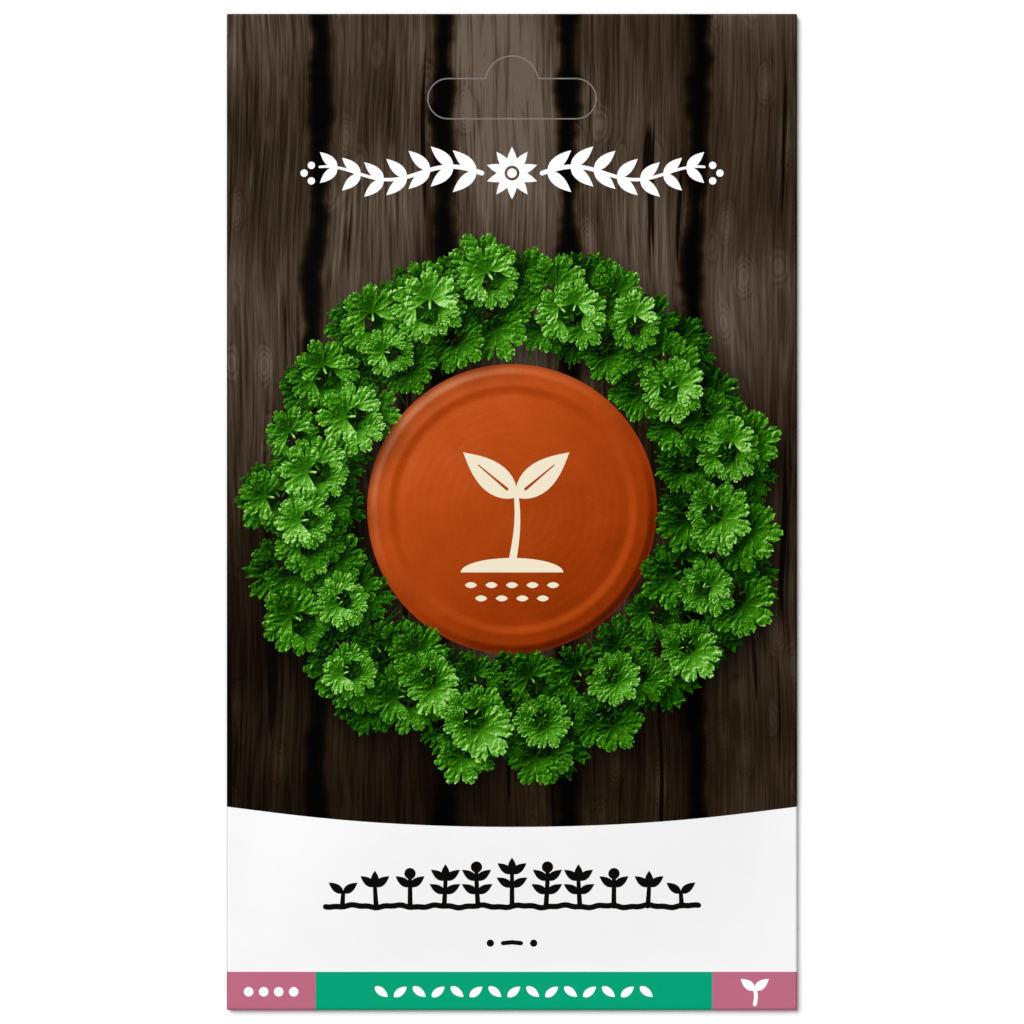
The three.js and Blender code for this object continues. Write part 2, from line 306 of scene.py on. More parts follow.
def lay(outline, colour=WHITE, ink=FLAT, centre=(0, 0), angle=0.0, size=1.0, tone=0.5, draw=0.0, to=on_front):
    """Lays one shape of ink over what is printed already."""
    shape = {"points": counter_clockwise([to(x, y) for x, y in outline])}
    shape.update(ink=ink, colour=colour, centre=centre, angle=angle, size=size, tone=tone, draw=draw)
    PRINT.append(shape)


print("white paper reflects", round(WHITE[0], 2), "and black ink", round(BLACK[0], 3))

# %% Brush shapes
def turned(outline, cx, cy, angle):
    """The outline turned by an angle in radians and moved."""
    c, s = cos(angle), sin(angle)
    return [(cx + x * c - y * s, cy + x * s + y * c) for x, y in outline]


def disc(cx, cy, radius, steps=24):
    return arc_points(cx, cy, radius, 0, 360 - 360 / steps, steps - 1)


def petal(cx, cy, angle, length, width, steps=9, base=0.75, tip=1.1):
    """A leaf, petal or seed from its base, along an angle in radians. The powers round its two ends."""
    widest = base / (base + tip)
    most = widest**base * (1 - widest) ** tip
    along = [(1 - cos(pi * i / steps)) / 2 for i in range(1, steps)]
    half = [(length * t, 0.5 * width * t**base * (1 - t) ** tip / most) for t in along]
    outline = [(0, 0)] + [(x, -y) for x, y in half] + [(length, 0)] + half[::-1]
    return turned(outline, cx, cy, angle)


def stroke(path, width, taper=1.0):
    """A brush stroke with round ends. Its far end narrows to this share of its width."""
    left, right = [], []
    for i, point in enumerate(path):
        ahead = Vector(path[min(i + 1, len(path) - 1)])
        behind = Vector(path[max(i - 1, 0)])
        across = (ahead - behind).normalized().orthogonal()
        half = width / 2 * (1 - (1 - taper) * i / (len(path) - 1))
        left.append(Vector(point) + across * half)
        right.append(Vector(point) - across * half)

    def cap(start, end):
        middle, arm = (start + end) / 2, (start - end) / 2
        return [middle + arm @ Matrix.Rotation(radians(45 * k), 2) for k in (1, 2, 3)]

    outline = left + cap(left[-1], right[-1]) + right[::-1] + cap(right[0], left[0])
    return [tuple(point) for point in outline]


print("a petal has", len(petal(0, 0, 0, 1, 1)), "points, a short stroke", len(stroke([(0, 0), (1, 0)], 1)))

# %% [markdown]
# ### The large fields
#
# The picture field fills the front down to a shallow arc, and below it lie the pale label and a band in three
# blocks. They could stop at the folds, but then white would show on an edge. So each runs on round the folds
# by a small bleed, as a printer makes it.

# %% Fields
BLEED = 1.6
REACH_X = FOLD_X + SIDE_ARC + BLEED
REACH_Y = FOLD_Y + END_ARC + HEIGHT / 2
LABEL_EDGE_Y = -48.7
LABEL_SAG = 3.5
LABEL_STEPS = 28
BAND_TOP = -76.53
BLOCK_LEFT = -32.67
BLOCK_RIGHT = 33.3
SAG_RADIUS = (REACH_X**2 + LABEL_SAG**2) / (2 * LABEL_SAG)


def label_edge(x):
    """The label's upper edge: a shallow arc, lowest in the middle."""
    centre_y = LABEL_EDGE_Y - LABEL_SAG + SAG_RADIUS
    return centre_y - sqrt(SAG_RADIUS**2 - x**2)


def lay_fields():
    side_u = 2 * (FOLD_X + LAP) + SIDE_ARC
    lay(box_outline(-side_u, side_u, -HEIGHT / 2, HEIGHT / 2), LABEL_WHITE)
    lay(box_outline(-REACH_X, REACH_X, -HEIGHT / 2, REACH_Y), ink=BOARDS)
    edge = [(x, label_edge(x)) for x in reversed(spaced(-REACH_X, REACH_X, LABEL_STEPS))]
    lay([(-REACH_X, BAND_TOP - 1), (REACH_X, BAND_TOP - 1)] + edge, LABEL_WHITE)
    lay(box_outline(-REACH_X, BLOCK_LEFT, -REACH_Y, BAND_TOP), PINK)
    lay(box_outline(BLOCK_LEFT, BLOCK_RIGHT, -REACH_Y, BAND_TOP), GREEN)
    lay(box_outline(BLOCK_RIGHT, REACH_X, -REACH_Y, BAND_TOP), PINK)


lay_fields()
print("label edge", round(label_edge(0), 2), "mm in the middle")

# %% [markdown]
# ### The clay medallion
#
# The round plate in the middle of the picture is drawn as turned clay with a raised rim, with a cream
# seedling on a little heap of soil over two rows of seeds. A modelled dish would stand up from the paper, and
# this is only print, so its material works out a relief from the distance to the centre.

# %% Medallion and seedling
PLATE_X, PLATE_Y = 0.0, 0.5
PLATE_RADIUS = 24.0
HEAP_HALF = 8.5
HEAP_RISE = 2.4
HEAP_Y = PLATE_Y - 10.5
STEM_Y = PLATE_Y - 9
SEED_ROWS = ((-12.6, 5), (-14.8, 4))
SEED_STEP = 3.4


def lay_medallion():
    plate = {"ink": CLAY, "centre": (PLATE_X, PLATE_Y), "size": PLATE_RADIUS}
    lay(disc(PLATE_X, PLATE_Y, PLATE_RADIUS, 96), **plate)
    half_turn = arc_points(0, 0, 1, 0, 180, 24)
    lay([(PLATE_X + HEAP_HALF * x, HEAP_Y + HEAP_RISE * y) for x, y in half_turn], CREAM)
    stem = [(PLATE_X + 0.9 * sin(0.28 * i), STEM_Y + 1.4 * i) for i in range(9)]
    lay(stroke(stem, 1.3, 0.6), CREAM)
    fork_x, fork_y = stem[-1]
    for side in (-1, 1):
        lean = radians(90 - side * 50)
        lay(petal(fork_x, fork_y - 0.2, lean, 11.5, 4.9, 16), CREAM)
        rib = [polar(fork_x, fork_y - 0.2, reach, lean) for reach in (2.0, 5.0, 8.2)]
        lay(stroke(rib, 0.5, 0.4), **plate)
    for row, count in SEED_ROWS:
        for i in range(count):
            x = PLATE_X + (i - (count - 1) / 2) * SEED_STEP
            lay(petal(x - 1, PLATE_Y + row, 0.0, 2.0, 1.0, 8, 0.8, 0.8), CREAM)


lay_medallion()
print(len(PRINT), "shapes with the medallion")

# %% [markdown]
# ### The wreath of curly leaves
#
# Each leaf is a fan of lobes with deep slits between them, and each lobe has three round teeth. Seven leaves
# spread from one point as a spray. The sprays are laid in rounds, dark ones first and bright ones last, so
# that the wreath has depth. One leaf drawn by hand and copied would be quicker, but the eye soon finds the
# copies. Every draw is seeded, so the wreath grows the same way each time.

# %% Leaves and sprays
LOBES = 5
TEETH = 3
FAN = radians(126)
LOBE_CUT = 0.48
TOOTH_CUT = 0.17
SIDE_LOSS = 0.24
DARK_TONE = 0.25
STALK = 40


def scallop(angle, per_lobe, power, sine=sin):
    """0 at each slit, or at each notch where there are several to a lobe, and 1 halfway between them."""
    lobes = (angle / FAN + 1) / 2 * LOBES
    return abs(sine(pi * lobes * per_lobe)) ** power


def leaf_reach(angle, sine=sin):
    """How far a leaf reaches from its stalk in a direction, as a share of its radius."""
    slit = 1 - LOBE_CUT * (1 - scallop(angle, 1, 0.4, sine))
    notch = 1 - TOOTH_CUT * (1 - scallop(angle, TEETH, 0.6, sine))
    return slit * notch * (1 - SIDE_LOSS * (angle / FAN) ** 2)


def curly_outline(radius, rng, fine):
    """One leaf from its stalk, pointing along +x."""
    outline = [(-0.3 * radius, -0.03 * radius), (0, -0.05 * radius)]
    for tooth in range(LOBES * TEETH):
        for part in (0, 0.24, 0.76) if fine else (0, 0.5):
            angle = (2 * (tooth + part) / (LOBES * TEETH) - 1) * FAN
            outline.append(polar(0, 0, radius * leaf_reach(angle) * rng.uniform(0.98, 1.03), angle))
    return outline + [(0, 0.05 * radius), (-0.3 * radius, 0.03 * radius)]


def lay_leaf(x, y, angle, radius, tone, rng):
    outline = turned(curly_outline(radius, rng, tone > DARK_TONE), x, y, angle)
    lay(outline, ink=LEAF, centre=(x, y), angle=angle, size=radius, tone=tone, draw=rng.random())


def lay_spray(cx, cy, heading, size, tone, rng):
    """Leaves that spread from one point, the ones at the back first."""
    for lean, scale in ((-155, 0.62), (155, 0.62), (-104, 0.8), (104, 0.8), (-52, 0.9), (52, 0.9), (0, 1.05)):
        angle = heading + radians(lean + rng.uniform(-16, 16))
        radius = size * scale * rng.uniform(0.82, 1.12)
        reach = 0.44 * size * rng.uniform(0.7, 1.2)
        x, y = polar(cx, cy, reach, angle)
        lay_leaf(x, y, angle, radius, tone + rng.uniform(-0.12, 0.12) + 0.08 * (lean == 0), rng)


print("a leaf reaches", round(leaf_reach(pi / 50), 2), "and its sides", round(leaf_reach(0.9 * FAN), 2))

# %% Wreath
def on_ring(radius, at):
    return polar(PLATE_X, PLATE_Y, radius, at)


def lay_stalks(count, tone, rng):
    """Bare stalks that show between the sprays, thinnest towards the plate."""
    for i in range(count):
        at = 2 * pi * (i + rng.random()) / count
        path = [on_ring(PLATE_RADIUS + 1 + 7 * k, at + 0.07 * k * rng.uniform(-1, 1)) for k in range(3)]
        lay(stroke(path[::-1], 0.55, 0.3), ink=LEAF, centre=path[0], angle=at, size=STALK, tone=tone)


def lay_wreath():
    rng = random.Random(4)
    rounds = [
        # count, ring radius, wander, turn from outward in degrees, size, tone
        (24, 33.0, 2.5, 0, 6.2, 0.02),
        (24, 37.5, 2.0, 40, 5.4, 0.16),
        (22, 31.0, 1.5, 200, 4.8, 0.30),
        (22, 37.0, 3.0, -20, 4.9, 0.48),
        (19, 34.0, 4.2, 20, 4.6, 0.76),
    ]
    for number, (count, ring, wander, turn, size, tone) in enumerate(rounds):
        start = rng.uniform(0, 2 * pi)
        if number in (1, 2):
            lay_stalks(26, 0.7, rng)
        for i in range(count):
            at = start + 2 * pi * (i + rng.uniform(-0.2, 0.2)) / count
            x, y = on_ring(ring + rng.uniform(-wander, wander), at)
            heading = at + radians(turn + rng.uniform(-40, 40))
            lit = 0.10 * (SUN.x * cos(at) + SUN.y * sin(at))
            lay_spray(x, y, heading, size * rng.uniform(0.85, 1.12), tone + lit, rng)


def is_leaf(shape):
    return shape["ink"] == LEAF and shape["size"] < STALK


def leaf_disc(shape, share):
    """The middle and the radius of the round part of a leaf."""
    return *polar(*shape["centre"], 0.35 * shape["size"], shape["angle"]), share * shape["size"]


def drop_hidden_leaves():
    """Takes out the leaves that later ones cover, because only the topmost ink shows."""
    leaves = [shape for shape in PRINT if is_leaf(shape)]
    discs = np.array([leaf_disc(shape, 0.6) for shape in leaves])
    hidden = set()
    for i, shape in enumerate(leaves[:-1]):
        rim = np.array(shape["points"][::4])
        gaps = np.hypot(*(rim[:, None] - discs[i + 1 :, :2]).transpose(2, 0, 1)) - discs[i + 1 :, 2]
        if (gaps.min(axis=1) < 0).all():
            hidden.add(id(shape))
    PRINT[:] = [shape for shape in PRINT if id(shape) not in hidden]
    print(len(leaves) - len(hidden), "leaves show in the wreath,", len(hidden), "would be hidden")


lay_wreath()
drop_hidden_leaves()

# %% [markdown]
# ### The white garland
#
# Above the picture lies a white garland: a rosette in the middle and a leafy twig to each side, which ends in
# berries. Both twigs could be drawn, but one is, and its mirror image makes the other exactly alike.

# %% Garland
GARLAND_Y = 56.4
TWIG_START = 5.0
TWIG_LENGTH = 27.0
BERRIES_X = TWIG_START + TWIG_LENGTH + 2
LEAF_PAIRS = 7


def twig_point(t):
    return TWIG_START + TWIG_LENGTH * t, GARLAND_Y + 1.1 * sin(2.6 * pi * t)


def lay_garland():
    for i in range(10):
        lay(petal(0, GARLAND_Y, radians(36 * i + 18), 4.4, 1.7, 9))
    lay(disc(0, GARLAND_Y, 1.25, 20), ink=BOARDS)
    lay(disc(0, GARLAND_Y, 0.8, 16))
    for side in (-1, 1):
        twig = [twig_point(t) for t in spaced(0, 1, 30)]
        lay(stroke([(side * x, y) for x, y in twig], 0.8, 0.5))
        for i in range(LEAF_PAIRS):
            t = (i + 0.25) / LEAF_PAIRS
            for lean in (-42, 42):
                leaf = petal(*twig_point(t), radians(lean), 5.3 - 1.6 * t, 2.0 - 0.4 * t, 10)
                lay([(side * x, y) for x, y in leaf])
        for dx, dy in ((-0.6, 1.3), (0.6, 0), (-0.6, -1.3)):
            lay(disc(side * (BERRIES_X + dx), GARLAND_Y + dy, 0.62, 16))


lay_garland()
print(len(PRINT), "shapes with the garland")

# %% [markdown]
# ### The row of plants
#
# On the label stands a row of young plants in black, tallest in the middle, on a wavy line of soil, with two
# dots and a dash below it. Stems, soil and dash are brush strokes, leaves and buds small filled shapes. A
# font's ornaments would be quicker, but these need no font and bend as a hand draws them.

# %% Plants and dots
ROW_Y = -65.5
ROW_HALF = 31.0
ROW_MARGIN = 2.8
JOINT = 1.1
DOTS_Y = -71.7


def lay_plant(x, joints, pairs, head, lean):
    """A stem this many joints high, leaves at every second joint, and a leaf or a bud on top."""
    path = [(x + lean * sin(0.3 * i), ROW_Y + JOINT * i) for i in range(joints + 1)]
    lay(stroke(path, 0.85, 0.8), BLACK)
    first = 2 if head == "bud" else 0
    for pair in range(pairs):
        base = path[-1 - first - 2 * pair]
        for side in (-1, 1):
            lay(petal(*base, radians(90 - side * (54 + 5 * pair)), 3.0, 1.4, 12), BLACK)
    if head == "leaf":
        lay(petal(*path[-1], radians(90), 2.7, 1.4, 12), BLACK)
    if head == "bud":
        lay(disc(*path[-1], 0.95, 24), BLACK)


def lay_row():
    xs = spaced(-ROW_HALF, ROW_HALF, 200)
    lay(stroke([(x, ROW_Y + 0.16 * sin(0.9 * x) + 0.08 * sin(2.3 * x)) for x in xs], 0.95), BLACK)
    plants = [(5, 2, "leaf"), (6, 2, "bud"), (4, 2, "leaf"), (5, 1, "bud"), (3, 1, "leaf"), (2, 1, "")]
    last = len(plants) - 1
    for i in range(-last, last + 1):
        lay_plant(i * (ROW_HALF - ROW_MARGIN) / last, *plants[abs(i)], 0.3 * sin(2.1 * i))
    for x in (-3.6, 3.6):
        lay(disc(x, DOTS_Y, 0.62, 16), BLACK)
    lay(stroke([(-1.5, DOTS_Y), (0, DOTS_Y + 0.15), (1.5, DOTS_Y)], 0.75), BLACK)


lay_row()
print(len(PRINT), "shapes with the row of plants")

# %% [markdown]
# ### Motifs in the band
#
# The left block has four white dots, the middle a row of white seeds that lean to and fro, and the right a
# white seedling. The paper could be left white there, as a printer would, but a shape of white ink laid over
# the band shows the same and cuts nothing out of it.

# %% Band motifs
BAND_Y = -79.85
DOT_PITCH = 2.5
BAND_SEEDS = 15
BAND_PITCH = 3.15
BAND_SEED = 2.7


def lay_seedling(x, y, colour, to=on_front):
    """A small plant with two leaves."""
    stem = [(x + 0.2 * sin(pi * i / 6), y + 2.6 * i / 6) for i in range(7)]
    lay(stroke(stem, 0.65), colour, to=to)
    for side in (-1, 1):
        lay(petal(x, y + 2.4, radians(90 - side * 52), 3.0, 1.5, 10), colour, to=to)


def lay_band_motifs():
    block = (-WIDTH / 2 + BLOCK_LEFT) / 2
    for i in range(4):
        lay(disc(block + (i - 1.5) * DOT_PITCH, BAND_Y, 0.8, 20))
    for i in range(BAND_SEEDS):
        x = (BLOCK_LEFT + BLOCK_RIGHT) / 2 + (i - (BAND_SEEDS - 1) / 2) * BAND_PITCH
        lean = radians(38 if i % 2 else -38)
        lay(petal(*polar(x, BAND_Y, -BAND_SEED / 2, lean), lean, BAND_SEED, 1.3, 9, 0.7, 0.9))
    lay_seedling((BLOCK_RIGHT + WIDTH / 2) / 2, BAND_Y - 2.1, WHITE)


lay_band_motifs()
print(len(PRINT), "shapes with the band")

# %% [markdown]
# ### The printed back
#
# Nothing shows the real back, so it is finished as such packets usually are, without words: a sowing calendar
# of twelve boxes, signs for sun and water, ruled lines to write on, and three steps from seed to seedling. It
# could be left bare, but a packet is turned over as soon as it is picked up.

# %% Back
GREY_LINE = shown(176, 178, 176)
SUN_YELLOW = shown(236, 178, 44)
WATER_BLUE = shown(70, 150, 190)
SOIL_BROWN = shown(96, 66, 44)
LEAF_GREEN = shown(52, 128, 44)
GREEN_LINE_Y = (-62, -60.6)
RULED_LINES = 9
RULED_LEFT, RULED_RIGHT = 2.0, 43.0
RULED_TOP = 14.0
RULED_PITCH = 8.0
TILE_HALF = 9.0
TILE_SOIL = -3.0
TILE_X = -27.0


def lay_calendar(left, bottom, pitch, cell):
    """Two rows of six boxes: green ones to sow in, pink ones to harvest in, grey ones for neither."""
    colours = [GREY_LINE] * 2 + [GREEN] * 5 + [PINK] * 3 + [GREY_LINE] * 2
    for month, colour in enumerate(colours):
        x = left + pitch * (5 - month % 6)
        y = bottom + pitch * (1 - month // 6)
        lay(box_outline(x, x + cell, y, y + cell), colour, to=on_right_back)


def lay_sun(x, y):
    for i in range(8):
        ray = [polar(x, y, reach, radians(45 * i)) for reach in (3.2, 3.7, 4.3)]
        lay(stroke(ray, 0.6), SUN_YELLOW, to=on_right_back)
    lay(disc(x, y, 2.4, 24), SUN_YELLOW, to=on_right_back)


def lay_drop(x, y):
    lay(arc_points(x, y - 0.8, 2.4, -215, 35, 18) + [(x, y + 4.2)], WATER_BLUE, to=on_right_back)


def lay_step(x, y, height):
    """A tile with soil and a seed, and in the later ones a plant as high as this."""
    for top, colour in ((TILE_HALF, PAPER_CORE), (TILE_SOIL, SOIL_BROWN)):
        lay(box_outline(x - TILE_HALF, x + TILE_HALF, y - TILE_HALF, y + top), colour, to=on_left_back)
    lay(petal(x - 1.1, y - 5.6, 0.0, 2.2, 1.2, 8, 0.8, 0.8), CREAM, to=on_left_back)
    if height:
        lay(stroke([(x, y - 4.8), (x, y - 5 + height)], 0.65), LEAF_GREEN, to=on_left_back)
        lay_seedling(x, y - 5 + height, LEAF_GREEN, on_left_back)


def lay_back():
    lay(box_outline(-FOLD_X, 0.5 - LAP, *GREEN_LINE_Y), GREEN, to=on_left_back)
    lay(box_outline(-LAP, FOLD_X, *GREEN_LINE_Y), GREEN, to=on_right_back)
    lay_calendar(3.0, 38.0, 6.9, 6.2)
    lay_sun(34.0, 28.0)
    lay_drop(20.0, 27.5)
    for line in range(RULED_LINES):
        y = RULED_TOP - RULED_PITCH * line
        lay(box_outline(RULED_LEFT, RULED_RIGHT, y, y + 0.25), GREY_LINE, to=on_right_back)
    for y, height in ((38.0, 0.0), (8.0, 1.5), (-22.0, 5.0)):
        lay_step(TILE_X, y, height)


lay_back()
print(len(PRINT), "printed shapes")

# %% [markdown]
# ## The die-cut hang hole
#
# A die has cut a long slot with a round bump through every layer of the header, all but a few nicks that hold
# the slug. The cut shows as a thin grey line, because the paper's core turns up along it. A dark line alone
# would draw it, but light then stops at the paper. So a thin ring in the colour of shaded paper is laid over
# the print, and a still thinner cut is taken out of the sheet.

# %% Hang hole
SLOT_LENGTH = 28.0
SLOT_HEIGHT = 6.7
SLOT_Y = HEIGHT / 2 - 14.2
BUMP_RADIUS = 4.4
BUMP_Y = SLOT_Y + 2.7
CUT = 0.04
CUT_RING = 0.2
NICK = 0.7
NICK_X = 8.5
CUTS = []


def hang_hole(margin):
    """The outline, grown by a margin, with the same number of points whatever the margin."""
    end = SLOT_HEIGHT / 2 + margin
    straight = (SLOT_LENGTH - SLOT_HEIGHT) / 2
    bump = BUMP_RADIUS + margin
    start = degrees(asin((SLOT_Y + end - BUMP_Y) / bump))
    bump_x = bump * cos(radians(start))
    bottom = [(x, SLOT_Y - end) for x in spaced(-straight, straight, 24)[1:-1]]
    right = arc_points(straight, SLOT_Y, end, -90, 90, 24)
    top_right = [(x, SLOT_Y + end) for x in spaced(straight, bump_x, 8)[1:-1]]
    over = arc_points(0, BUMP_Y, bump, start, 180 - start, 30)
    top_left = [(-x, y) for x, y in reversed(top_right)]
    left = arc_points(-straight, SLOT_Y, end, 90, 270, 24)
    return bottom + right + top_right + over + top_left + left


def held_by_nick(x, y):
    in_column = any(abs(x - at) < NICK / 2 for at in (-NICK_X, 0, NICK_X))
    return in_column or abs(y - SLOT_Y) < NICK / 2


def cut_runs():
    """The stretches of the cutting line between the nicks, each as a thin closed outline."""
    outer, inner, middle = hang_hole(CUT / 2), hang_hole(-CUT / 2), hang_hole(0)
    free = [not held_by_nick(x, y) for x, y in middle]
    start = free.index(False)
    order = [(start + i) % len(middle) for i in range(len(middle))]
    runs = [list(run) for is_free, run in groupby(order, lambda i: free[i]) if is_free]
    return [[outer[i] for i in run] + [inner[i] for i in reversed(run)] for run in runs if len(run) > 1]


def cut_header():
    for to in (on_front, on_right_back, on_left_back, on_top_flap):
        ink, colour = (BOARDS, WHITE) if to in (on_front, on_top_flap) else (FLAT, LABEL_WHITE)
        lay(hang_hole(CUT_RING / 2), CUT_LINE, to=to)
        lay(hang_hole(-CUT_RING / 2), colour, ink, to=to)
        CUTS.extend(counter_clockwise([to(x, y) for x, y in run]) for run in cut_runs())


cut_header()
print(len(CUTS), "cuts through the header's layers")

# %% [markdown]
# ## One mesh from all the shapes
#
# A constrained triangulation takes every outline at once, splits them where they cross, and says for each
# triangle which shapes cover it. The topmost shape gives the ink. Stacking thin meshes would be quicker to
# write, but they would flicker and float, whereas this is one sheet of paper whose faces carry the inks.

# %% Lines and points for the folds
GRID = 3.6
FINE_GRID = 1.3
FINE_FROM = 14
FINE_TO = 51
FOLD_STEPS = 8


def fold_steps(last):
    """Evenly spaced places round the side folds and the end folds, up to the last of these steps."""
    shares = [step / FOLD_STEPS for step in range(1, last + 1)]
    return [(FOLD_X + SIDE_ARC * share, FOLD_Y + END_ARC * share) for share in shares]


def crease_lines():
    """Straight lines across the flat blank, so that the folds bend in even steps."""
    lines = []
    for u, v in fold_steps(FOLD_STEPS):
        for side in (-1, 1):
            lines.append([(side * u, -CORNER_Y), (side * u, CORNER_Y)])
            lines.append([(-CORNER_X, side * v), (CORNER_X, side * v)])
    for x in (RAMP_END - RAMP_LENGTH, RAMP_END):
        u = on_left_back(x, 0)[0]
        lines.append([(u, -CORNER_Y), (u, CORNER_Y)])
    for u, v in fold_steps(FOLD_STEPS // 2 - 1):
        for side in (-1, 1):
            for end in (-1, 1):
                lines.append([(side * u, end * TIP_LOW_V), (side * u, end * TIP_V)])
                lines.append([(side * TIP_LOW_U, end * v), (side * TIP_U, end * v)])
    return lines


def coarse_grid():
    """Points that let the front follow its crown."""
    us = spaced(-FOLD_X, FOLD_X, int(WIDTH / GRID))[1:-1]
    vs = spaced(-FOLD_Y, FOLD_Y, int(HEIGHT / GRID))[1:-1]
    return [(u, v) for u in us for v in vs]


def fine_grid():
    """More points round the wreath, where the boards and the plate take its soft shadow."""
    points = []
    count = int(2 * FOLD_X / FINE_GRID)
    for i, x in enumerate(spaced(-FOLD_X, FOLD_X, count)[1:-1], 1):
        for j in range(1, count):
            y = PLATE_Y - FOLD_X + 2 * FOLD_X * (j + 0.5 * (i % 2)) / count
            in_ring = FINE_FROM < hypot(x - PLATE_X, y - PLATE_Y) < FINE_TO
            if in_ring and y > label_edge(x) + 0.5:
                points.append((x, y))
    return points


print(len(crease_lines()), "lines and", len(coarse_grid() + fine_grid()), "points for folds and shadows")

# %% Triangulate
INSIDE_ONLY = 1
NEARBY = 1e-5


def triangulate(outlines, grid, fixed=(), fixed_edges=()):
    """Flat points, triangles, what outlines cover each triangle, and which point each fixed one became."""
    points, edges, faces = list(fixed), list(fixed_edges), []
    for outline in outlines:
        faces.append(list(range(len(points), len(points) + len(outline))))
        points += outline
    for line in crease_lines():
        edges.append((len(points), len(points) + 1))
        points += line
    points = [Vector(point) for point in points + grid]
    made, _, triangles, sources, _, cover = delaunay_2d_cdt(points, edges, faces, INSIDE_ONLY, NEARBY)
    became = {source: i for i, group in enumerate(sources) for source in group}
    return made, triangles, cover, [became[i] for i in range(len(fixed))]


def on_paper(triangles, cover):
    """The triangles that are paper, each with its panel and its topmost print layer."""
    first_cut = len(PANELS)
    first_print = first_cut + len(CUTS)
    kept = []
    for triangle, faces in zip(triangles, cover):
        panels = [f for f in faces if f < first_cut]
        cuts = [f for f in faces if first_cut <= f < first_print]
        if panels and not cuts:
            kept.append((triangle, PANELS[panels[0]][0], max(faces) - first_print))
    return kept


PAPER_OUTLINES = [counter_clockwise(outline) for _, outline in PANELS] + CUTS
PRINT_OUTLINES = [shape["points"] for shape in PRINT]
FLAT_POINTS, *FLAT_TRIANGLES, _ = triangulate(PAPER_OUTLINES + PRINT_OUTLINES, coarse_grid() + fine_grid())
PRINTED_FACES = on_paper(*FLAT_TRIANGLES)
print(len(FLAT_POINTS), "points and", len(PRINTED_FACES), "printed triangles")

# %% [markdown]
# ## Light and shadow in the picture
#
# Each corner of each triangle stores what its ink's material reads: where it is in its leaf, which way the
# picture's light comes from there, how much the leaves above it shade it, and how near it is to a fold, which
# sets both how worn the paper is there and the painted shade along the fold. Real light can't cast the
# shadows of a flat print, so each leaf is treated as a soft disc that is moved away from the light.

# %% Shade
NEAR_SHADOW = {"soft": 0.7, "shift": 0.7, "strength": 0.55}
FAR_SHADOW = {"soft": 3.2, "shift": 2.6, "strength": 0.34}
DEEPEST = 0.1


def leaf_shadows(corners, layers, soft, shift, strength):
    """How much light is left at each corner under the leaves that lie above its layer."""
    light = np.ones(len(corners))
    order = np.argsort(corners[:, 0])
    across = corners[order, 0]
    for number, shape in enumerate(PRINT):
        if not is_leaf(shape):
            continue
        x, y, radius = leaf_disc(shape, 0.66)
        x, y = x - shift * SUN.x, y - shift * SUN.y
        first, last = np.searchsorted(across, (x - radius - soft, x + radius + soft))
        under = order[first:last]
        under = under[layers[under] < number]
        gap = np.hypot(*(corners[under] - (x, y)).T) - radius
        share = np.clip(0.5 - gap / (2 * soft), 0, 1)
        light[under] *= 1 - strength * share * share * (3 - 2 * share)
    return light


def shade_corners():
    flat = np.array([tuple(FLAT_POINTS[i]) for triangle, _, _ in PRINTED_FACES for i in triangle])
    layers = np.repeat([layer for _, _, layer in PRINTED_FACES], 3)
    panels = np.repeat([panel for _, panel, _ in PRINTED_FACES], 3)
    inks = np.array([PRINT[layer]["ink"] for layer in layers])
    near = leaf_shadows(flat, layers, **NEAR_SHADOW)
    far = leaf_shadows(flat, layers, **FAR_SHADOW)
    shade = np.where(inks == LEAF, near * np.sqrt(far), far)
    return np.where(panels == FRONT, np.maximum(shade, DEEPEST), 1.0)


SHADE = shade_corners()
print("mean light in the picture", round(float(SHADE.mean()), 3))

# %% [markdown]
# ## The folded sheet
#
# Paper has two sides. The printed side takes all the triangles of the print. The inside is triangulated again
# with few, and shares only the points along the edges, where a thin rim joins the two. Extruding the printed
# side would be simpler, but it would double a mesh that nobody sees from within. Then every point moves to
# its folded place, at its depth in the paper.
#
# The sheet also gets a UV map, for a bake of its print into one square picture. The front is drawn there at
# full scale, the back and the flaps smaller, and the bare inside smallest of all.

# %% The map
SHEET = 168.0
MAP_BARE = 5
ON_SHEET = {
    # panel: scale, and where the middle of the blank would lie
    FRONT: (1.0, 48.5, SHEET / 2),
    RIGHT: (0.62, 98.0 - 0.62 * FOLD_X, 52.5),
    LEFT: (0.62, 166.0 + 0.62 * FOLD_X, 52.5),
    TOP: (0.7, 132.0, 105.5 - 0.7 * FOLD_Y),
    BOTTOM: (0.7, 132.0, 139.0 + 0.7 * FOLD_Y),
    MAP_BARE: (0.11, 112.0, 153.0),
}
RIM_ON_SHEET = 6.0


def on_sheet(part, u, v):
    scale, x, y = ON_SHEET[part]
    return (x + scale * u) / SHEET, (y + scale * v) / SHEET


print("the front takes", round(WIDTH * HEIGHT / SHEET**2, 2), "of the map")

# %% The printed side
FOLD_WEAR_AND_SHADE_REACH = 0.9


def fold_wear_and_shade_at(u, v):
    """1 in the middle of a fold, fading over the paper to both sides. It sets both the paper's wear and the
    painted shade along the fold.
    """
    over, turn = max((abs(u) - FOLD_X, SIDE_ARC), (abs(v) - FOLD_Y, END_ARC))
    return exp(-(((over - turn / 2) / FOLD_WEAR_AND_SHADE_REACH) ** 2))


def sheet_layers(bm):
    """What the faces, points and corners store."""
    corner = bm.loops.layers
    return {
        "art": corner.float_vector.new("art"),
        "sun": corner.float_vector.new("sun"),
        "print_shade": corner.float.new("print_shade"),
        # Nearness to a fold: it sets the paper's wear and the painted shade along the fold.
        "fold_wear_and_shade": corner.float.new("fold_wear_and_shade"),
        "ink": corner.float_color.new("ink"),
        "map": corner.uv.new("OFBake"),
        "side": bm.faces.layers.int.new("side"),
        "outward": bm.verts.layers.float_vector.new("outward"),
    }


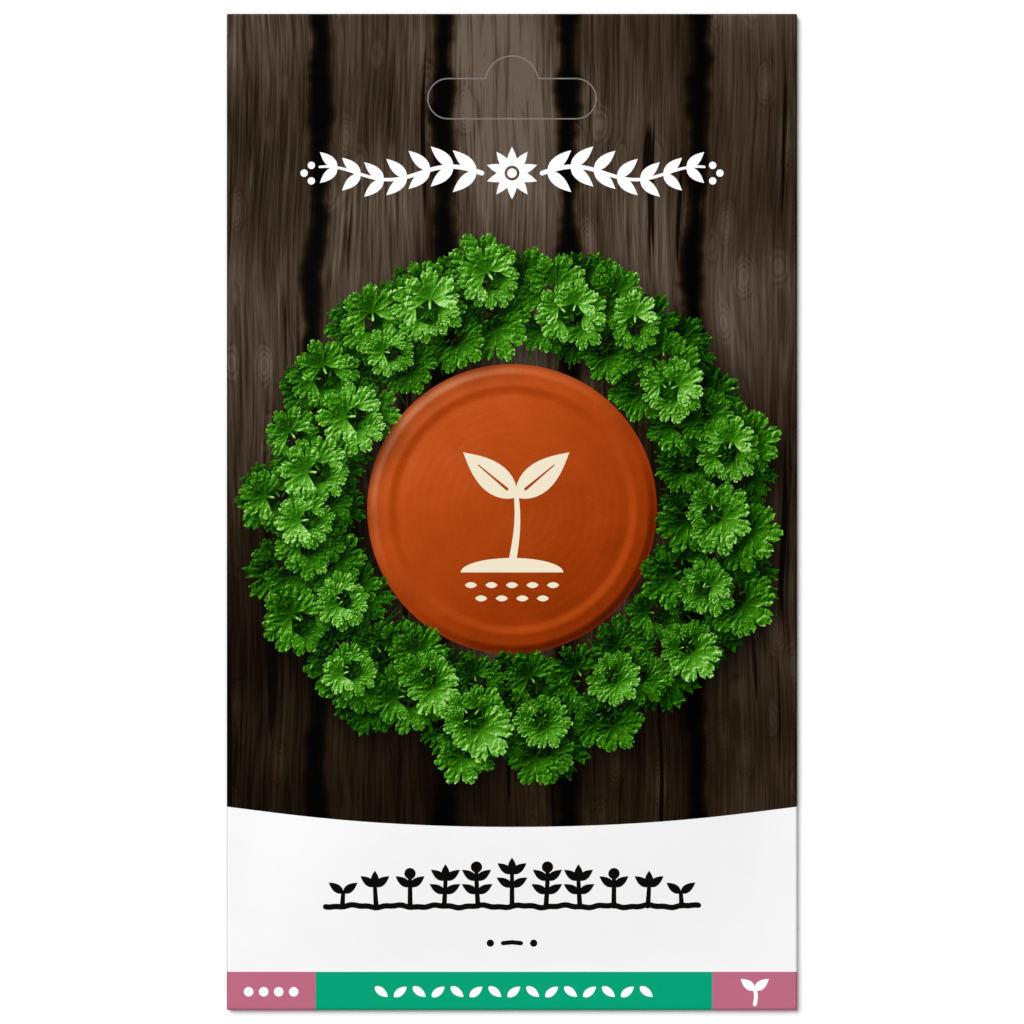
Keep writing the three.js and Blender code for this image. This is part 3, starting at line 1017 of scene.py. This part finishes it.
def add_side(bm, points, triangles, depth, home):
    """One side of the paper, still flat. It notes each point's panel and depth for the folding."""
    made = {}
    faces = []
    for triangle, panel, _ in triangles:
        for i in triangle:
            if i not in made:
                made[i] = bm.verts.new((*points[i], 0))
                home[made[i]] = (panel, depth)
        corners = [made[i] for i in triangle]
        faces.append(bm.faces.new(corners if depth == 0 else corners[::-1]))
    return made, faces


def ink_side(faces, layers):
    """Gives each printed face its ink, and its corners what that ink's material reads."""
    for number, (face, (triangle, panel, layer)) in enumerate(zip(faces, PRINTED_FACES)):
        shape = PRINT[layer]
        face.material_index = shape["ink"]
        c, s = cos(shape["angle"]), sin(shape["angle"])
        sun = (SUN.x * c + SUN.y * s, SUN.y * c - SUN.x * s, shape["tone"])
        for k, loop in enumerate(face.loops):
            u, v = FLAT_POINTS[triangle[k]]
            dx, dy = (u - shape["centre"][0]) / shape["size"], (v - shape["centre"][1]) / shape["size"]
            loop[layers["art"]] = (dx * c + dy * s, dy * c - dx * s, shape["draw"])
            loop[layers["sun"]] = sun
            loop[layers["print_shade"]] = SHADE[3 * number + k]
            loop[layers["fold_wear_and_shade"]] = fold_wear_and_shade_at(u, v)
            loop[layers["ink"]] = (*shape["colour"], 1)
            loop[layers["map"]].uv = on_sheet(panel, u, v)


print("a fold's edge is worn by", round(fold_wear_and_shade_at(FOLD_X, 0), 2), "and its middle by", fold_wear_and_shade_at(TIP_U, 0))

# %% The inside and the rim
def bare_side(faces, layers, home):
    """Gives the inside and the rim their bare paper, and their small place on the map."""
    for face in faces:
        face.material_index = BARE
        for loop in face.loops:
            u, v = loop.vert.co.xy
            shift = RIM_ON_SHEET if home[loop.vert][1] else 0.0
            loop[layers["map"]].uv = on_sheet(MAP_BARE, u + shift, v + shift)


def ink_corner_rims(rim, loops):
    """At the four corners the ink runs over the thin edges, so that no white line parts the tip."""
    for face, start in zip(rim, loops):
        u, v = start.vert.co.xy
        if abs(u) > FOLD_X - 1 and abs(v) > CORNER_Y - 1:
            end = start.link_loop_next
            face.material_index = start.face.material_index
            for loop, like in zip(face.loops, (end, start, start, end)):
                loop.copy_from(like)


def add_inside(bm, home, layers):
    """The bare inside of the paper, and the rim that joins it to the printed side."""
    rim = [edge for edge in bm.edges if edge.is_boundary]
    loops = [edge.link_loops[0] for edge in rim]
    order = {vertex: i for i, vertex in enumerate(dict.fromkeys(v for edge in rim for v in edge.verts))}
    edges = [tuple(order[vertex] for vertex in edge.verts) for edge in rim]
    fixed = [vertex.co.xy for vertex in order]
    points, triangles, cover, became = triangulate(PAPER_OUTLINES, coarse_grid(), fixed, edges)
    made, faces = add_side(bm, points, on_paper(triangles, cover), PAPER, home)
    under = {vertex: made[became[i]] for vertex, i in order.items()}
    for loop in loops:
        start, end = loop.vert, loop.link_loop_next.vert
        faces.append(bm.faces.new((end, start, under[start], under[end])))
    bare_side(faces, layers, home)
    ink_corner_rims(faces[-len(loops) :], loops)
    return faces[: -len(loops)], faces[-len(loops) :]


PRINTED, INSIDE, RIM = range(3)


def folded_sheet():
    bm = bmesh.new()
    layers = sheet_layers(bm)
    home = {}
    _, printed = add_side(bm, FLAT_POINTS, PRINTED_FACES, 0, home)
    ink_side(printed, layers)
    inside, rim = add_inside(bm, home, layers)
    for side, faces in ((PRINTED, printed), (INSIDE, inside), (RIM, rim)):
        for face in faces:
            face[layers["side"]] = side
    for vertex, (panel, depth) in home.items():
        u, v = vertex.co.xy
        vertex[layers["outward"]] = outward(panel, u, v)
        vertex.co = place(panel, u, v, depth) * MM
    open_edges = sum(not edge.is_manifold for edge in bm.edges)
    print("paper", round(bm.calc_volume(signed=True) / MM**3), "cubic mm,", open_edges, "open edges")
    return bm


def add_object(name, data):
    made = bpy.data.objects.new(name, data)
    bpy.context.scene.collection.objects.link(made)
    return made


def to_object(bm, name):
    """A mesh object, with all its faces shaded smooth."""
    for face in bm.faces:
        face.smooth = True
    mesh = bpy.data.meshes.new(name)
    bm.to_mesh(mesh)
    bm.free()
    return add_object(name, mesh)


packet = to_object(folded_sheet(), "printed_packet")
print(len(packet.data.polygons), "faces in the folded sheet")

# %% [markdown]
# The sheet has long thin triangles, and plain smooth shading would streak along them. The folds' formula
# knows the true direction of the paper at every point, so those directions are set as the mesh's own normals.

# %% Normals
def read_all(collection, field, kind, width=1):
    values = np.empty(len(collection) * width, dtype=kind)
    collection.foreach_get(field, values)
    return values.reshape(-1, width) if width > 1 else values


def set_paper_normals(mesh):
    corners = read_all(mesh.loops, "vertex_index", np.int32)
    totals = read_all(mesh.polygons, "loop_total", np.int32)
    out = read_all(mesh.attributes["outward"].data, "vector", np.float32, 3)[corners]
    own = np.repeat(read_all(mesh.polygons, "normal", np.float32, 3), totals, axis=0)
    side = np.repeat(read_all(mesh.attributes["side"].data, "value", np.int32), totals)[:, None]
    chosen = np.where(side == PRINTED, out, np.where(side == INSIDE, -out, own))
    mesh.normals_split_custom_set(chosen)
    print("normals that leave their face by over 30 degrees:", int(((chosen * own).sum(axis=1) < 0.87).sum()))


set_paper_normals(packet.data)

# %% [markdown]
# ## Materials
#
# All the inks share one finish: coated paper, with a faint tooth, a slight unevenness of ink, and white core
# showing where a fold has cracked the print. A line of painted shade darkens the middle of each fold, darkest
# on the left and at the top, where it stands in for the thin shadow line along the packet's edge. That finish
# is a node group, placed in each material. The patterns are sums and products of noise. A call for each Math
# node could write them, but a small class lets them be written as arithmetic, which is far easier to read.

# %% Node helpers
def node(tree, kind, sockets=None, output=0, **settings):
    """Adds a node, with its sockets linked or given a value. Returns one of its outputs as a field."""
    made = tree.nodes.new(kind)
    for name, value in settings.items():
        setattr(made, name, value)
    for name, value in (sockets or {}).items():
        if isinstance(value, Field):
            tree.links.new(value.socket, made.inputs[name])
        else:
            made.inputs[name].default_value = value
    return Field(tree, made.outputs[output]) if made.outputs else None


def calc(operation, first, *others):
    """A Math node on a field and what follows it."""
    return node(first.tree, "ShaderNodeMath", dict(enumerate((first, *others))), operation=operation)


class Field:
    """A value that changes over the surface. Arithmetic on it adds Math nodes to its tree."""

    def __init__(self, tree, socket):
        self.tree = tree
        self.socket = socket

    def __add__(self, other):
        return calc("ADD", self, other)

    def __sub__(self, other):
        return calc("SUBTRACT", self, other)

    def __rsub__(self, other):
        return calc("MULTIPLY_ADD", self, -1.0, other)

    def __mul__(self, other):
        return calc("MULTIPLY", self, other)

    def __truediv__(self, other):
        return calc("DIVIDE", self, other)

    def __pow__(self, power):
        return calc("POWER", self, power)

    def __abs__(self):
        return calc("ABSOLUTE", self)

    __radd__ = __add__
    __rmul__ = __mul__


def sine(field):
    return calc("SINE", field)


def remap(field, low, high, to_low=0.0, to_high=1.0, kind="SMOOTHSTEP"):
    sockets = {"Value": field, "From Min": low, "From Max": high, "To Min": to_low, "To Max": to_high}
    return node(field.tree, "ShaderNodeMapRange", sockets, interpolation_type=kind)


def blend(share, first, second, kind="MIX"):
    """Mixes two colours. The Mix node keeps its colour sockets at 6 and 7, and their result at 2."""
    sockets = {0: share, 6: first, 7: second}
    return node(first.tree, "ShaderNodeMix", sockets, 2, data_type="RGBA", blend_type=kind)


def ramp(field, stops):
    """Colours along a field, each given as it shows on screen."""
    colour = node(field.tree, "ShaderNodeValToRGB", {"Fac": field})
    elements = colour.socket.node.color_ramp.elements
    while len(elements) < len(stops):
        elements.new(1.0)
    for element, (at, screen) in zip(elements, stops):
        element.position = at
        element.color = (*shown(*screen), 1)
    return colour


# %% Places and patterns
def stored(tree, name, output="Fac"):
    """What the mesh stores under this name."""
    return node(tree, "ShaderNodeAttribute", None, output, attribute_name=name)


def in_mm(tree):
    metres = node(tree, "ShaderNodeTexCoord", None, "Object")
    return node(tree, "ShaderNodeVectorMath", {0: metres, "Scale": 1 / MM}, operation="SCALE")


def outputs_of(field):
    """Every output of the node that a field comes from."""
    return [Field(field.tree, socket) for socket in field.socket.node.outputs]


def parts(vector):
    return outputs_of(node(vector.tree, "ShaderNodeSeparateXYZ", {0: vector}))


def joined(x, y, z=0.0):
    return node(x.tree, "ShaderNodeCombineXYZ", {"X": x, "Y": y, "Z": z})


def radius_of(x, y):
    return node(x.tree, "ShaderNodeVectorMath", {0: joined(x, y)}, "Value", operation="LENGTH")


def dim(colour, light):
    """A colour times a number."""
    return blend(1.0, colour, joined(light, light, light), "MULTIPLY")


def grain(vector, scale, detail=2.0, rough=0.5, warp=0.0):
    sockets = {"Vector": vector, "Scale": scale, "Detail": detail, "Roughness": rough, "Distortion": warp}
    return node(vector.tree, "ShaderNodeTexNoise", sockets)


def cells(vector, scale=5.0, scatter=1.0):
    """The distance to the nearest of many scattered points."""
    sockets = {"Vector": vector, "Scale": scale, "Randomness": scatter}
    return node(vector.tree, "ShaderNodeTexVoronoi", sockets)


# %% Groups, shaders and materials
def new_group(name, takes, gives):
    """A node group whose sockets have these names and kinds. Returns it and its inputs."""
    group = bpy.data.node_groups.new(name, "ShaderNodeTree")
    for in_out, sockets in (("INPUT", takes), ("OUTPUT", gives)):
        for label, kind in sockets.items():
            group.interface.new_socket(label, in_out=in_out, socket_type="NodeSocket" + kind)
    inputs = group.nodes.new("NodeGroupInput").outputs
    return group, [Field(group, inputs[label]) for label in takes]


def place_group(group, sockets):
    """Places a group in the tree of the fields that it takes. Returns its outputs."""
    tree = next(iter(sockets.values())).tree
    return outputs_of(node(tree, "ShaderNodeGroup", sockets, node_tree=group))


def surface(colour, roughness, height=None, depth=0.0, specular=0.5):
    """The shader. A height gives it a bump, this deep in millimetres."""
    tree = colour.tree
    sockets = {"Base Color": colour, "Roughness": roughness, "Specular IOR Level": specular}
    if height is not None:
        sockets["Normal"] = node(tree, "ShaderNodeBump", {"Height": height, "Distance": depth * MM})
    shader = node(tree, "ShaderNodeBsdfPrincipled", sockets)
    node(tree, "ShaderNodeOutputMaterial", {"Surface": shader})


def material(look):
    """A material that is named for the function that draws it."""
    made = bpy.data.materials.new(look.__name__.replace("_", " "))
    made.use_nodes = True
    made.node_tree.nodes.clear()
    look(made.node_tree)
    print(made.name, "has", len(made.node_tree.nodes), "nodes")
    return made


# %% Coated paper
TOOTH_DEPTH = 0.004
COATED_SPECULAR = 0.02


def coated_paper_group():
    gives = {"Color": "Color", "Roughness": "Float", "Height": "Float"}
    group, (ink, fold_wear_and_shade) = new_group("coated paper", {"Ink": "Color", "FoldWearAndShade": "Float"}, gives)
    mm = in_mm(group)
    tooth = grain(mm, 4.5, 3.0, 0.6)
    cloud = grain(mm, 0.16, 3.0, 0.55)
    crack = grain(mm, 1.7, 4.0, 0.7)
    worn = remap(crack * 0.9 + fold_wear_and_shade, 1.5, 1.72) * 0.55
    inked = dim(ink, remap(cloud, 0.25, 0.75, 0.985, 1.01, "LINEAR"))
    x, y, _ = parts(mm)
    # Painted shade: the ink is darkened along the middle of each fold, most on the left and top edges, in
    # place of the thin shadow line at the packet's edge.
    painted_edge_shadow_side = calc("GREATER_THAN", calc("MAXIMUM", -FOLD_X - x, y - FOLD_Y), 0.0)
    painted_fold_shade = dim(inked, remap(fold_wear_and_shade, 0.82, 0.92, 1.0, 0.8 - painted_edge_shadow_side * 0.55))
    sockets = {
        "Color": blend(worn, painted_fold_shade, (*PAPER_CORE, 1)),
        "Roughness": worn * 0.3 + remap(tooth, 0.3, 0.7, 0.36, 0.46, "LINEAR"),
        "Height": cloud * 2.0 + tooth,
    }
    node(group, "NodeGroupOutput", sockets)
    return group


COATED = coated_paper_group()


def print_on_paper(ink):
    """The surface of coated paper under this ink."""
    colour, roughness, height = place_group(COATED, {"Ink": ink, "FoldWearAndShade": stored(ink.tree, "fold_wear_and_shade")})
    surface(colour, roughness, height, TOOTH_DEPTH, COATED_SPECULAR)


print(COATED.name, "has", len(COATED.nodes), "nodes")

# %% [markdown]
# ### Printed boards
#
# The backdrop is old dark boards that stand upright, a little out of focus. A wave texture could draw them,
# but its lines are too even. So the grain is noise that is stretched along each board, with rings round a few
# knots, and every board has its own tone and its own ragged gap. A pool of light from above left falls across
# them.

# %% Boards
BOARD_WIDTH = 21.0
BOARD_SHIFT = 9.0
KNOTS_ACROSS = 26
KNOTS_ALONG = 58
LIGHT_POOL = (-26.0, 88.0, 0.0)
POOL_NEAR = 10.0
POOL_FAR = 130.0


def printed_boards(tree):
    mm = in_mm(tree)
    x, y, _ = parts(mm)
    across = grain(joined(x * 0.03, y * 0.02), 1.0, 1.0) * 5.0 + (x + BOARD_SHIFT)
    share = across / BOARD_WIDTH
    board = calc("FLOOR", share)
    inside = calc("FRACT", share)
    tone = node(tree, "ShaderNodeTexWhiteNoise", {"W": board}, noise_dimensions="1D")

    def streaks(fine, along, detail, shift=0.0):
        return grain(joined(across * fine + shift, y * along, board * 7.3), 1.0, detail, 0.6, 0.3)

    edge = calc("MINIMUM", inside, 1.0 - inside) * BOARD_WIDTH
    ragged = grain(joined(board * 3.1, y * 0.11), 1.0, 3.0, 0.55)
    on_board = remap(edge - remap(ragged, 0.3, 0.72, 0.1, 2.1, "LINEAR"), -0.6, 1.4)
    rounded = remap(edge, 0.0, 0.3 * BOARD_WIDTH, 0.72, 1.0)

    knot = cells(joined(across / KNOTS_ACROSS, y / KNOTS_ALONG), scatter=0.9)
    figure = remap(knot, 0.0, 0.42, 1.0, 0.0) * 0.5 + streaks(0.16, 0.013, 2.0)
    rings = sine(figure * 58.0)
    cracks = remap(streaks(0.42, 0.014, 2.0), 0.30, 0.37)
    ridges = streaks(0.9, 0.035, 5.0) - streaks(0.9, 0.035, 5.0, 0.22)
    wood = streaks(1.5, 0.07, 4.0) * 0.34 + figure * 0.34 + tone * 0.18 + ridges * 0.65 + rings * 0.035

    away = node(tree, "ShaderNodeVectorMath", {0: mm, 1: LIGHT_POOL}, "Value", operation="DISTANCE")
    pools = remap(grain(mm, 0.024, 1.0), 0.36, 0.62, 0.72, 1.18)
    light = pools * remap(away, POOL_NEAR, POOL_FAR, 2.0, 0.82)
    stops = [
        (0.0, (6, 5, 2)),
        (0.20, (20, 14, 8)),
        (0.38, (41, 30, 20)),
        (0.54, (61, 49, 38)),
        (0.72, (80, 67, 56)),
        (0.92, (104, 90, 78)),
    ]
    colour = ramp(wood * rounded * on_board * calc("MAXIMUM", cracks, 0.25) * light, stops)
    print_on_paper(dim(colour, stored(tree, "print_shade")))


packet.data.materials.append(material(printed_boards))

# %% [markdown]
# ### Printed leaves and printed clay
#
# Both pictures are drawn as relief under one light. A bump would be simpler, but it turns with the real lamp,
# and a print doesn't. So a form is a height over the drawing, worked out at a point and again a little nearer
# to the light, and the difference brightens the slopes that face it. The leaf's form uses the very functions
# that cut its outline, so its folds run to its teeth and its rim is pale.

# %% Leaves
FORM_TAKES = {"X": "Float", "Y": "Float", "Draw": "Float"}


def leaf_form():
    """The height of a curly leaf, and how near a place is to its edge."""
    group, (x, y, draw) = new_group("leaf form", FORM_TAKES, {"Height": "Float", "Edge": "Float"})
    angle = calc("ARCTAN2", y, x)
    edge = radius_of(x, y) / leaf_reach(angle, sine)
    curls = grain(joined(x, y, draw * 9.0), 5.0, 3.0, 0.55, 0.8)
    folds = scallop(angle, TEETH, 1.0, sine) * 0.09 + scallop(angle, 1, 0.7, sine) * 0.11 + curls * 0.34
    height = folds * remap(edge, 0.05, 0.8) + edge**3 * 0.10
    node(group, "NodeGroupOutput", {"Height": height, "Edge": edge})
    return group


def lit_form(tree, form, step):
    """The brightness that a drawn form's slope gets, the last of its outputs, and its tone."""
    x, y, draw = parts(stored(tree, "art", "Vector"))
    sun_x, sun_y, tone = parts(stored(tree, "sun", "Vector"))
    here = place_group(form, {"X": x, "Y": y, "Draw": draw})
    near = place_group(form, {"X": sun_x * step + x, "Y": sun_y * step + y, "Draw": draw})
    return here[0] - near[0], here[-1], tone


def printed_leaves(tree):
    lit, edge, tone = lit_form(tree, leaf_form(), 0.05)
    rim = remap(edge, 0.1, 0.9, -0.09, 0.05) + remap(edge, 0.84, 1.0, 0.0, 0.18)
    light = stored(tree, "print_shade")
    stops = [
        (0.0, (3, 14, 1)),
        (0.16, (12, 42, 3)),
        (0.34, (27, 74, 6)),
        (0.52, (47, 108, 12)),
        (0.68, (76, 144, 28)),
        (0.82, (110, 179, 60)),
        (1.0, (178, 226, 136)),
    ]
    colour = ramp((lit * 5.0 + tone * 0.50 + 0.20 + rim) * (light * 0.75 + 0.25), stops)
    print_on_paper(dim(colour, light * 0.4 + 0.6))


packet.data.materials.append(material(printed_leaves))

# %% Clay
def plate_form():
    """The height of the turned plate: a rim, a step down to the flat, turning marks and pits."""
    group, (x, y, _) = new_group("plate form", FORM_TAKES, {"Height": "Float"})
    out = radius_of(x, y)
    lip = remap(out, 0.93, 1.0, 1.0, 0.0)
    dish = remap(out, 0.79, 0.865, -0.9, 0.0)
    marks = sine(out * 96.0) * 0.010
    pits = grain(joined(x, y), 46.0, 3.0, 0.75) * 0.10
    node(group, "NodeGroupOutput", {"Height": lip + dish + (marks + pits)})
    return group


def printed_clay(tree):
    lit, _, _ = lit_form(tree, plate_form(), 0.018)
    x, y, _ = parts(stored(tree, "art", "Vector"))
    cloud = grain(joined(x, y), 2.4, 4.0, 0.62)
    facing = y * 0.15 - x * 0.12
    stops = [
        (0.0, (44, 14, 4)),
        (0.25, (112, 36, 5)),
        (0.45, (157, 58, 12)),
        (0.60, (180, 74, 24)),
        (0.78, (205, 97, 46)),
        (1.0, (236, 150, 104)),
    ]
    colour = ramp(lit * 0.62 + facing + cloud * 0.24 + 0.40, stops)
    print_on_paper(dim(colour, stored(tree, "print_shade")))


packet.data.materials.append(material(printed_clay))

# %% Flat inks and bare paper
def flat_inks(tree):
    print_on_paper(stored(tree, "ink", "Color"))


def bare_paper(tree):
    """The uncoated inside and the cut edges: whiter, rougher and more fibrous."""
    fibres = grain(in_mm(tree), 2.6, 5.0, 0.7, 1.2)
    colour = ramp(fibres, [(0.3, (218, 215, 206)), (0.7, (238, 236, 230))])
    surface(colour, 0.85, fibres, depth=0.01, specular=0.2)


packet.data.materials.append(material(flat_inks))
packet.data.materials.append(material(bare_paper))
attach(packet, "root")
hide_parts("packet_sheet")

# %% [markdown]
# ## Glue
#
# The glue lines are thin strips of dried paper glue between the layers: clear amber, smooth, with small
# bubbles. They could be modelled again as beads, but pressed between two papers glue is flat, so the CAD
# model's own thin solids stay and get this look.

# %% Glue lines
def dried_glue(tree):
    mm = in_mm(tree)
    bubbles = cells(mm, 1.4)
    amber = ramp(grain(mm, 0.35, 3.0, 0.6), [(0.3, (196, 176, 122)), (0.7, (226, 213, 172))])
    colour = dim(amber, remap(bubbles, 0.02, 0.2, 1.08, 1.0))
    surface(colour, 0.3, remap(bubbles, 0.05, 0.22), depth=0.02)


GLUE_LOOK = material(dried_glue)
for name in ("seam_glue", "header_glue", "top_flap_glue", "bottom_flap_glue"):
    glue_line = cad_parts[name]
    glue_line.data.materials.clear()
    glue_line.data.materials.append(GLUE_LOOK)
    low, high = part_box(name)
    print(name, [round(side / MM, 2) for side in high - low], "mm")

# %% [markdown]
# ## The sachet
#
# Two thin films are sealed to each other round a flat rim. The front one is domed over the seeds and has
# soft wrinkles that run in from the seal. A cloth simulation could blow it up, but a dome this low needs
# none. Each film starts as a grid, is lifted by a formula, and is given its thickness by extrusion.

# %% Films
FILM = 0.1
SACHET_Y = -14.0
SACHET_SEAL = 5.0
SACHET_DOME = 1.7
WRINKLE = 0.09


def film_lift(x, y, half_x, half_y):
    """The dome over the seeds, with wrinkles where the film leaves its seal."""
    rise = pillow(x / (half_x - SACHET_SEAL)) * pillow(y / (half_y - SACHET_SEAL))
    slope = 4 * rise * (1 - rise)
    ruck = sin(0.9 * x + 2 * noise.noise(Vector((x / 9, y / 9, 2)))) * cos(0.7 * y)
    return SACHET_DOME * rise + WRINKLE * slope * ruck


def film(name, node_name, domed, columns, rows):
    low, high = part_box(node_name)
    half_x, half_y = (high.x - low.x) / MM / 2, (high.y - low.y) / MM / 2
    bm = bmesh.new()
    made = bmesh.ops.create_grid(bm, x_segments=columns, y_segments=rows, size=1)
    bmesh.ops.scale(bm, vec=(half_x, half_y, 1), verts=made["verts"])
    under = list(bm.faces)
    shell = bmesh.ops.extrude_face_region(bm, geom=under, use_keep_orig=True)
    upper = {part for part in shell["geom"] if isinstance(part, bmesh.types.BMVert)}
    for vertex in bm.verts:
        x, y = vertex.co.x, vertex.co.y
        lift = film_lift(x, y, half_x, half_y) if domed else 0
        level = low.z / MM + lift + (FILM if vertex in upper else 0)
        vertex.co = Vector((x, y + SACHET_Y, level)) * MM
    obj = to_object(bm, name)
    obj.data.set_sharp_from_angle(angle=radians(50))
    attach(obj, "root")
    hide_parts(node_name)
    return obj


def waxed_film(tree):
    """Waxed paper film. A fine waffle is pressed into the sealed rim."""
    low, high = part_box("sachet_front")
    mm = in_mm(tree)
    x, y, _ = parts(mm)
    outside_x = abs(x) - ((high.x - low.x) / MM / 2 - SACHET_SEAL)
    outside_y = abs(y - SACHET_Y) - ((high.y - low.y) / MM / 2 - SACHET_SEAL)
    seal = remap(calc("MAXIMUM", outside_x, outside_y), 0.0, 0.6)
    waffle = sine(x * 5.2) * sine(y * 5.2) * seal
    cloud = grain(mm, 0.5, 4.0, 0.6)
    colour = ramp(cloud, [(0.3, (226, 221, 203)), (0.7, (240, 237, 226))])
    surface(colour, remap(cloud, 0.3, 0.7, 0.28, 0.4, "LINEAR"), waffle, depth=0.05)


WAXED = material(waxed_film)
film_back = film("film_back", "sachet_back", False, 12, 16)
film_front = film("film_front", "sachet_front", True, 72, 96)
for piece in (film_back, film_front):
    piece.data.materials.append(WAXED)
    print(piece.name, len(piece.data.polygons), "faces")

# %% [markdown]
# ## The seeds
#
# A herb seed of this kind is a small ribbed spindle, flatter on one side. A particle system could scatter
# them, but then they would cross each other. One is shaped from a sphere with few faces, whose every second
# meridian is pushed in, and its copies lie in two seeded layers, the upper ones in the hollows of the lower.

# %% Seeds
SEED_LENGTH, SEED_WIDTH, SEED_DEPTH = 2.4, 1.1, 0.9
SEED_PITCH_X, SEED_PITCH_Y = 2.55, 1.2
LAYER_STEP = 0.62


def add_seed(bm, centre, turn, scale, tint):
    made = bmesh.ops.create_uvsphere(bm, u_segments=8, v_segments=6, radius=0.5)["verts"]
    for vertex in made:
        vertex[bm.verts.layers.float["tint"]] = tint
        around = atan2(vertex.co.y, vertex.co.x)
        rib = 1.0 if round(around / (pi / 4)) % 2 == 0 else 0.84
        narrow = 1 - 0.35 * max(vertex.co.z / 0.5, 0) ** 2
        belly = 0.88 if vertex.co.x < 0 else 1.0
        vertex.co.x *= rib * narrow * belly
        vertex.co.y *= rib * narrow
    size = (SEED_DEPTH * scale, SEED_WIDTH * scale, SEED_LENGTH * scale)
    bmesh.ops.scale(bm, vec=size, verts=made)
    lie = Vector((0, 0, 1)).rotation_difference(Vector((1, 0, 0))).to_matrix()
    bmesh.ops.rotate(bm, matrix=lie, verts=made)
    bmesh.ops.rotate(bm, matrix=turn, verts=made)
    bmesh.ops.translate(bm, vec=centre, verts=made)


def seed_pile():
    rng = random.Random(11)
    low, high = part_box("seeds")
    middle = (low + high) / 2 / MM
    half = (high - low) / 2 / MM
    bm = bmesh.new()
    bm.verts.layers.float.new("tint")
    rows = int(half.y / SEED_PITCH_Y)
    columns = int(half.x / SEED_PITCH_X) + 1
    count = 0
    for layer in range(2):
        z = low.z / MM + 0.5 * SEED_WIDTH + layer * LAYER_STEP
        for row in range(-rows, rows + 1):
            for column in range(-columns, columns + 1):
                x = (column + 0.5 * ((row + layer) % 2)) * SEED_PITCH_X
                y = (row + 0.5 * layer) * SEED_PITCH_Y
                if hypot(x / (half.x - 1), y / (half.y - 0.6)) > 1 - 0.15 * layer:
                    continue
                turn = Matrix.Rotation(rng.uniform(-0.22, 0.22), 3, "Z")
                turn = turn @ Matrix.Rotation(rng.uniform(-1, 1), 3, "X")
                x += middle.x + rng.uniform(-0.1, 0.1)
                add_seed(bm, (x, middle.y + y, z), turn, rng.uniform(0.9, 1.05), rng.random())
                count += 1
    bmesh.ops.scale(bm, vec=(MM, MM, MM), verts=bm.verts)
    print(count, "seeds")
    return to_object(bm, "loose_seeds")


def seed_coat(tree):
    speckle = grain(in_mm(tree), 5.0, 4.0, 0.65)
    shade = stored(tree, "tint") * 0.4 + speckle * 0.6
    colour = ramp(shade, [(0.15, (70, 52, 32)), (0.45, (112, 90, 58)), (0.8, (164, 142, 102))])
    surface(colour, 0.75, speckle, depth=0.04)


seeds = seed_pile()
seeds.data.materials.append(material(seed_coat))
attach(seeds, "root")
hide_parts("seeds")

# %% [markdown]
# ## Floor, light and camera
#
# The packet lies on a plain pale floor. A lit tent of panels is the usual way to photograph it. Here one soft
# lamp stands to the upper left, so that the packet's edge throws a narrow shadow to its right and below it,
# and an even pale sky fills the rest. The camera looks straight down, from far enough away that the packet
# shows hardly any perspective.

# %% Stage
FLOOR_REACH = 1.5
FLOOR_DROP = 0.02
LAMP_PLACE = Vector((-2.9, 3.5, 4.4))
LAMP_SIZE = 4.4
LAMP_POWER = 442.0
SKY = 0.45
LENS = 100.0
SENSOR = 36.0
PHOTO_PIXELS = 1024
PACKET_PIXELS = 996.5
FRAME_HEIGHT = HEIGHT * MM * PHOTO_PIXELS / PACKET_PIXELS


def pale_floor(tree):
    cloud = grain(node(tree, "ShaderNodeTexCoord", None, "Object"), 3.0, 2.0)
    surface(remap(cloud, 0.3, 0.7, 0.92, 0.94, "LINEAR"), 0.9, specular=0.1)


def lay_floor():
    bm = bmesh.new()
    bmesh.ops.create_grid(bm, x_segments=2, y_segments=2, size=FLOOR_REACH)
    bmesh.ops.translate(bm, vec=(0, 0, -FLOOR_DROP * MM), verts=bm.verts)
    floor = to_object(bm, "floor")
    floor.data.materials.append(material(pale_floor))


def soft_lamp():
    lamp = bpy.data.lights.new("soft lamp", "AREA")
    lamp.shape = "DISK"
    lamp.size = LAMP_SIZE
    lamp.energy = LAMP_POWER
    obj = add_object("soft lamp", lamp)
    obj.location = LAMP_PLACE
    obj.rotation_euler = (-LAMP_PLACE).to_track_quat("-Z", "Y").to_euler()


def pale_sky():
    world = bpy.data.worlds.new("pale sky")
    world.use_nodes = True
    background = world.node_tree.nodes["Background"]
    background.inputs["Color"].default_value = (1, 1, 1, 1)
    background.inputs["Strength"].default_value = SKY
    bpy.context.scene.world = world


def camera_above():
    data = bpy.data.cameras.new("camera")
    data.lens = LENS
    data.sensor_width = SENSOR
    distance = FRAME_HEIGHT / (SENSOR / LENS)
    obj = add_object("camera", data)
    obj.location = (0, 0, distance + (BACK_LEVEL + SIDE_RADIUS) * MM)
    bpy.context.scene.camera = obj
    print("camera", round(obj.location.z, 4), "m above the floor")


lay_floor()
soft_lamp()
pale_sky()
camera_above()
bpy.context.scene.view_settings.view_transform = "Standard"
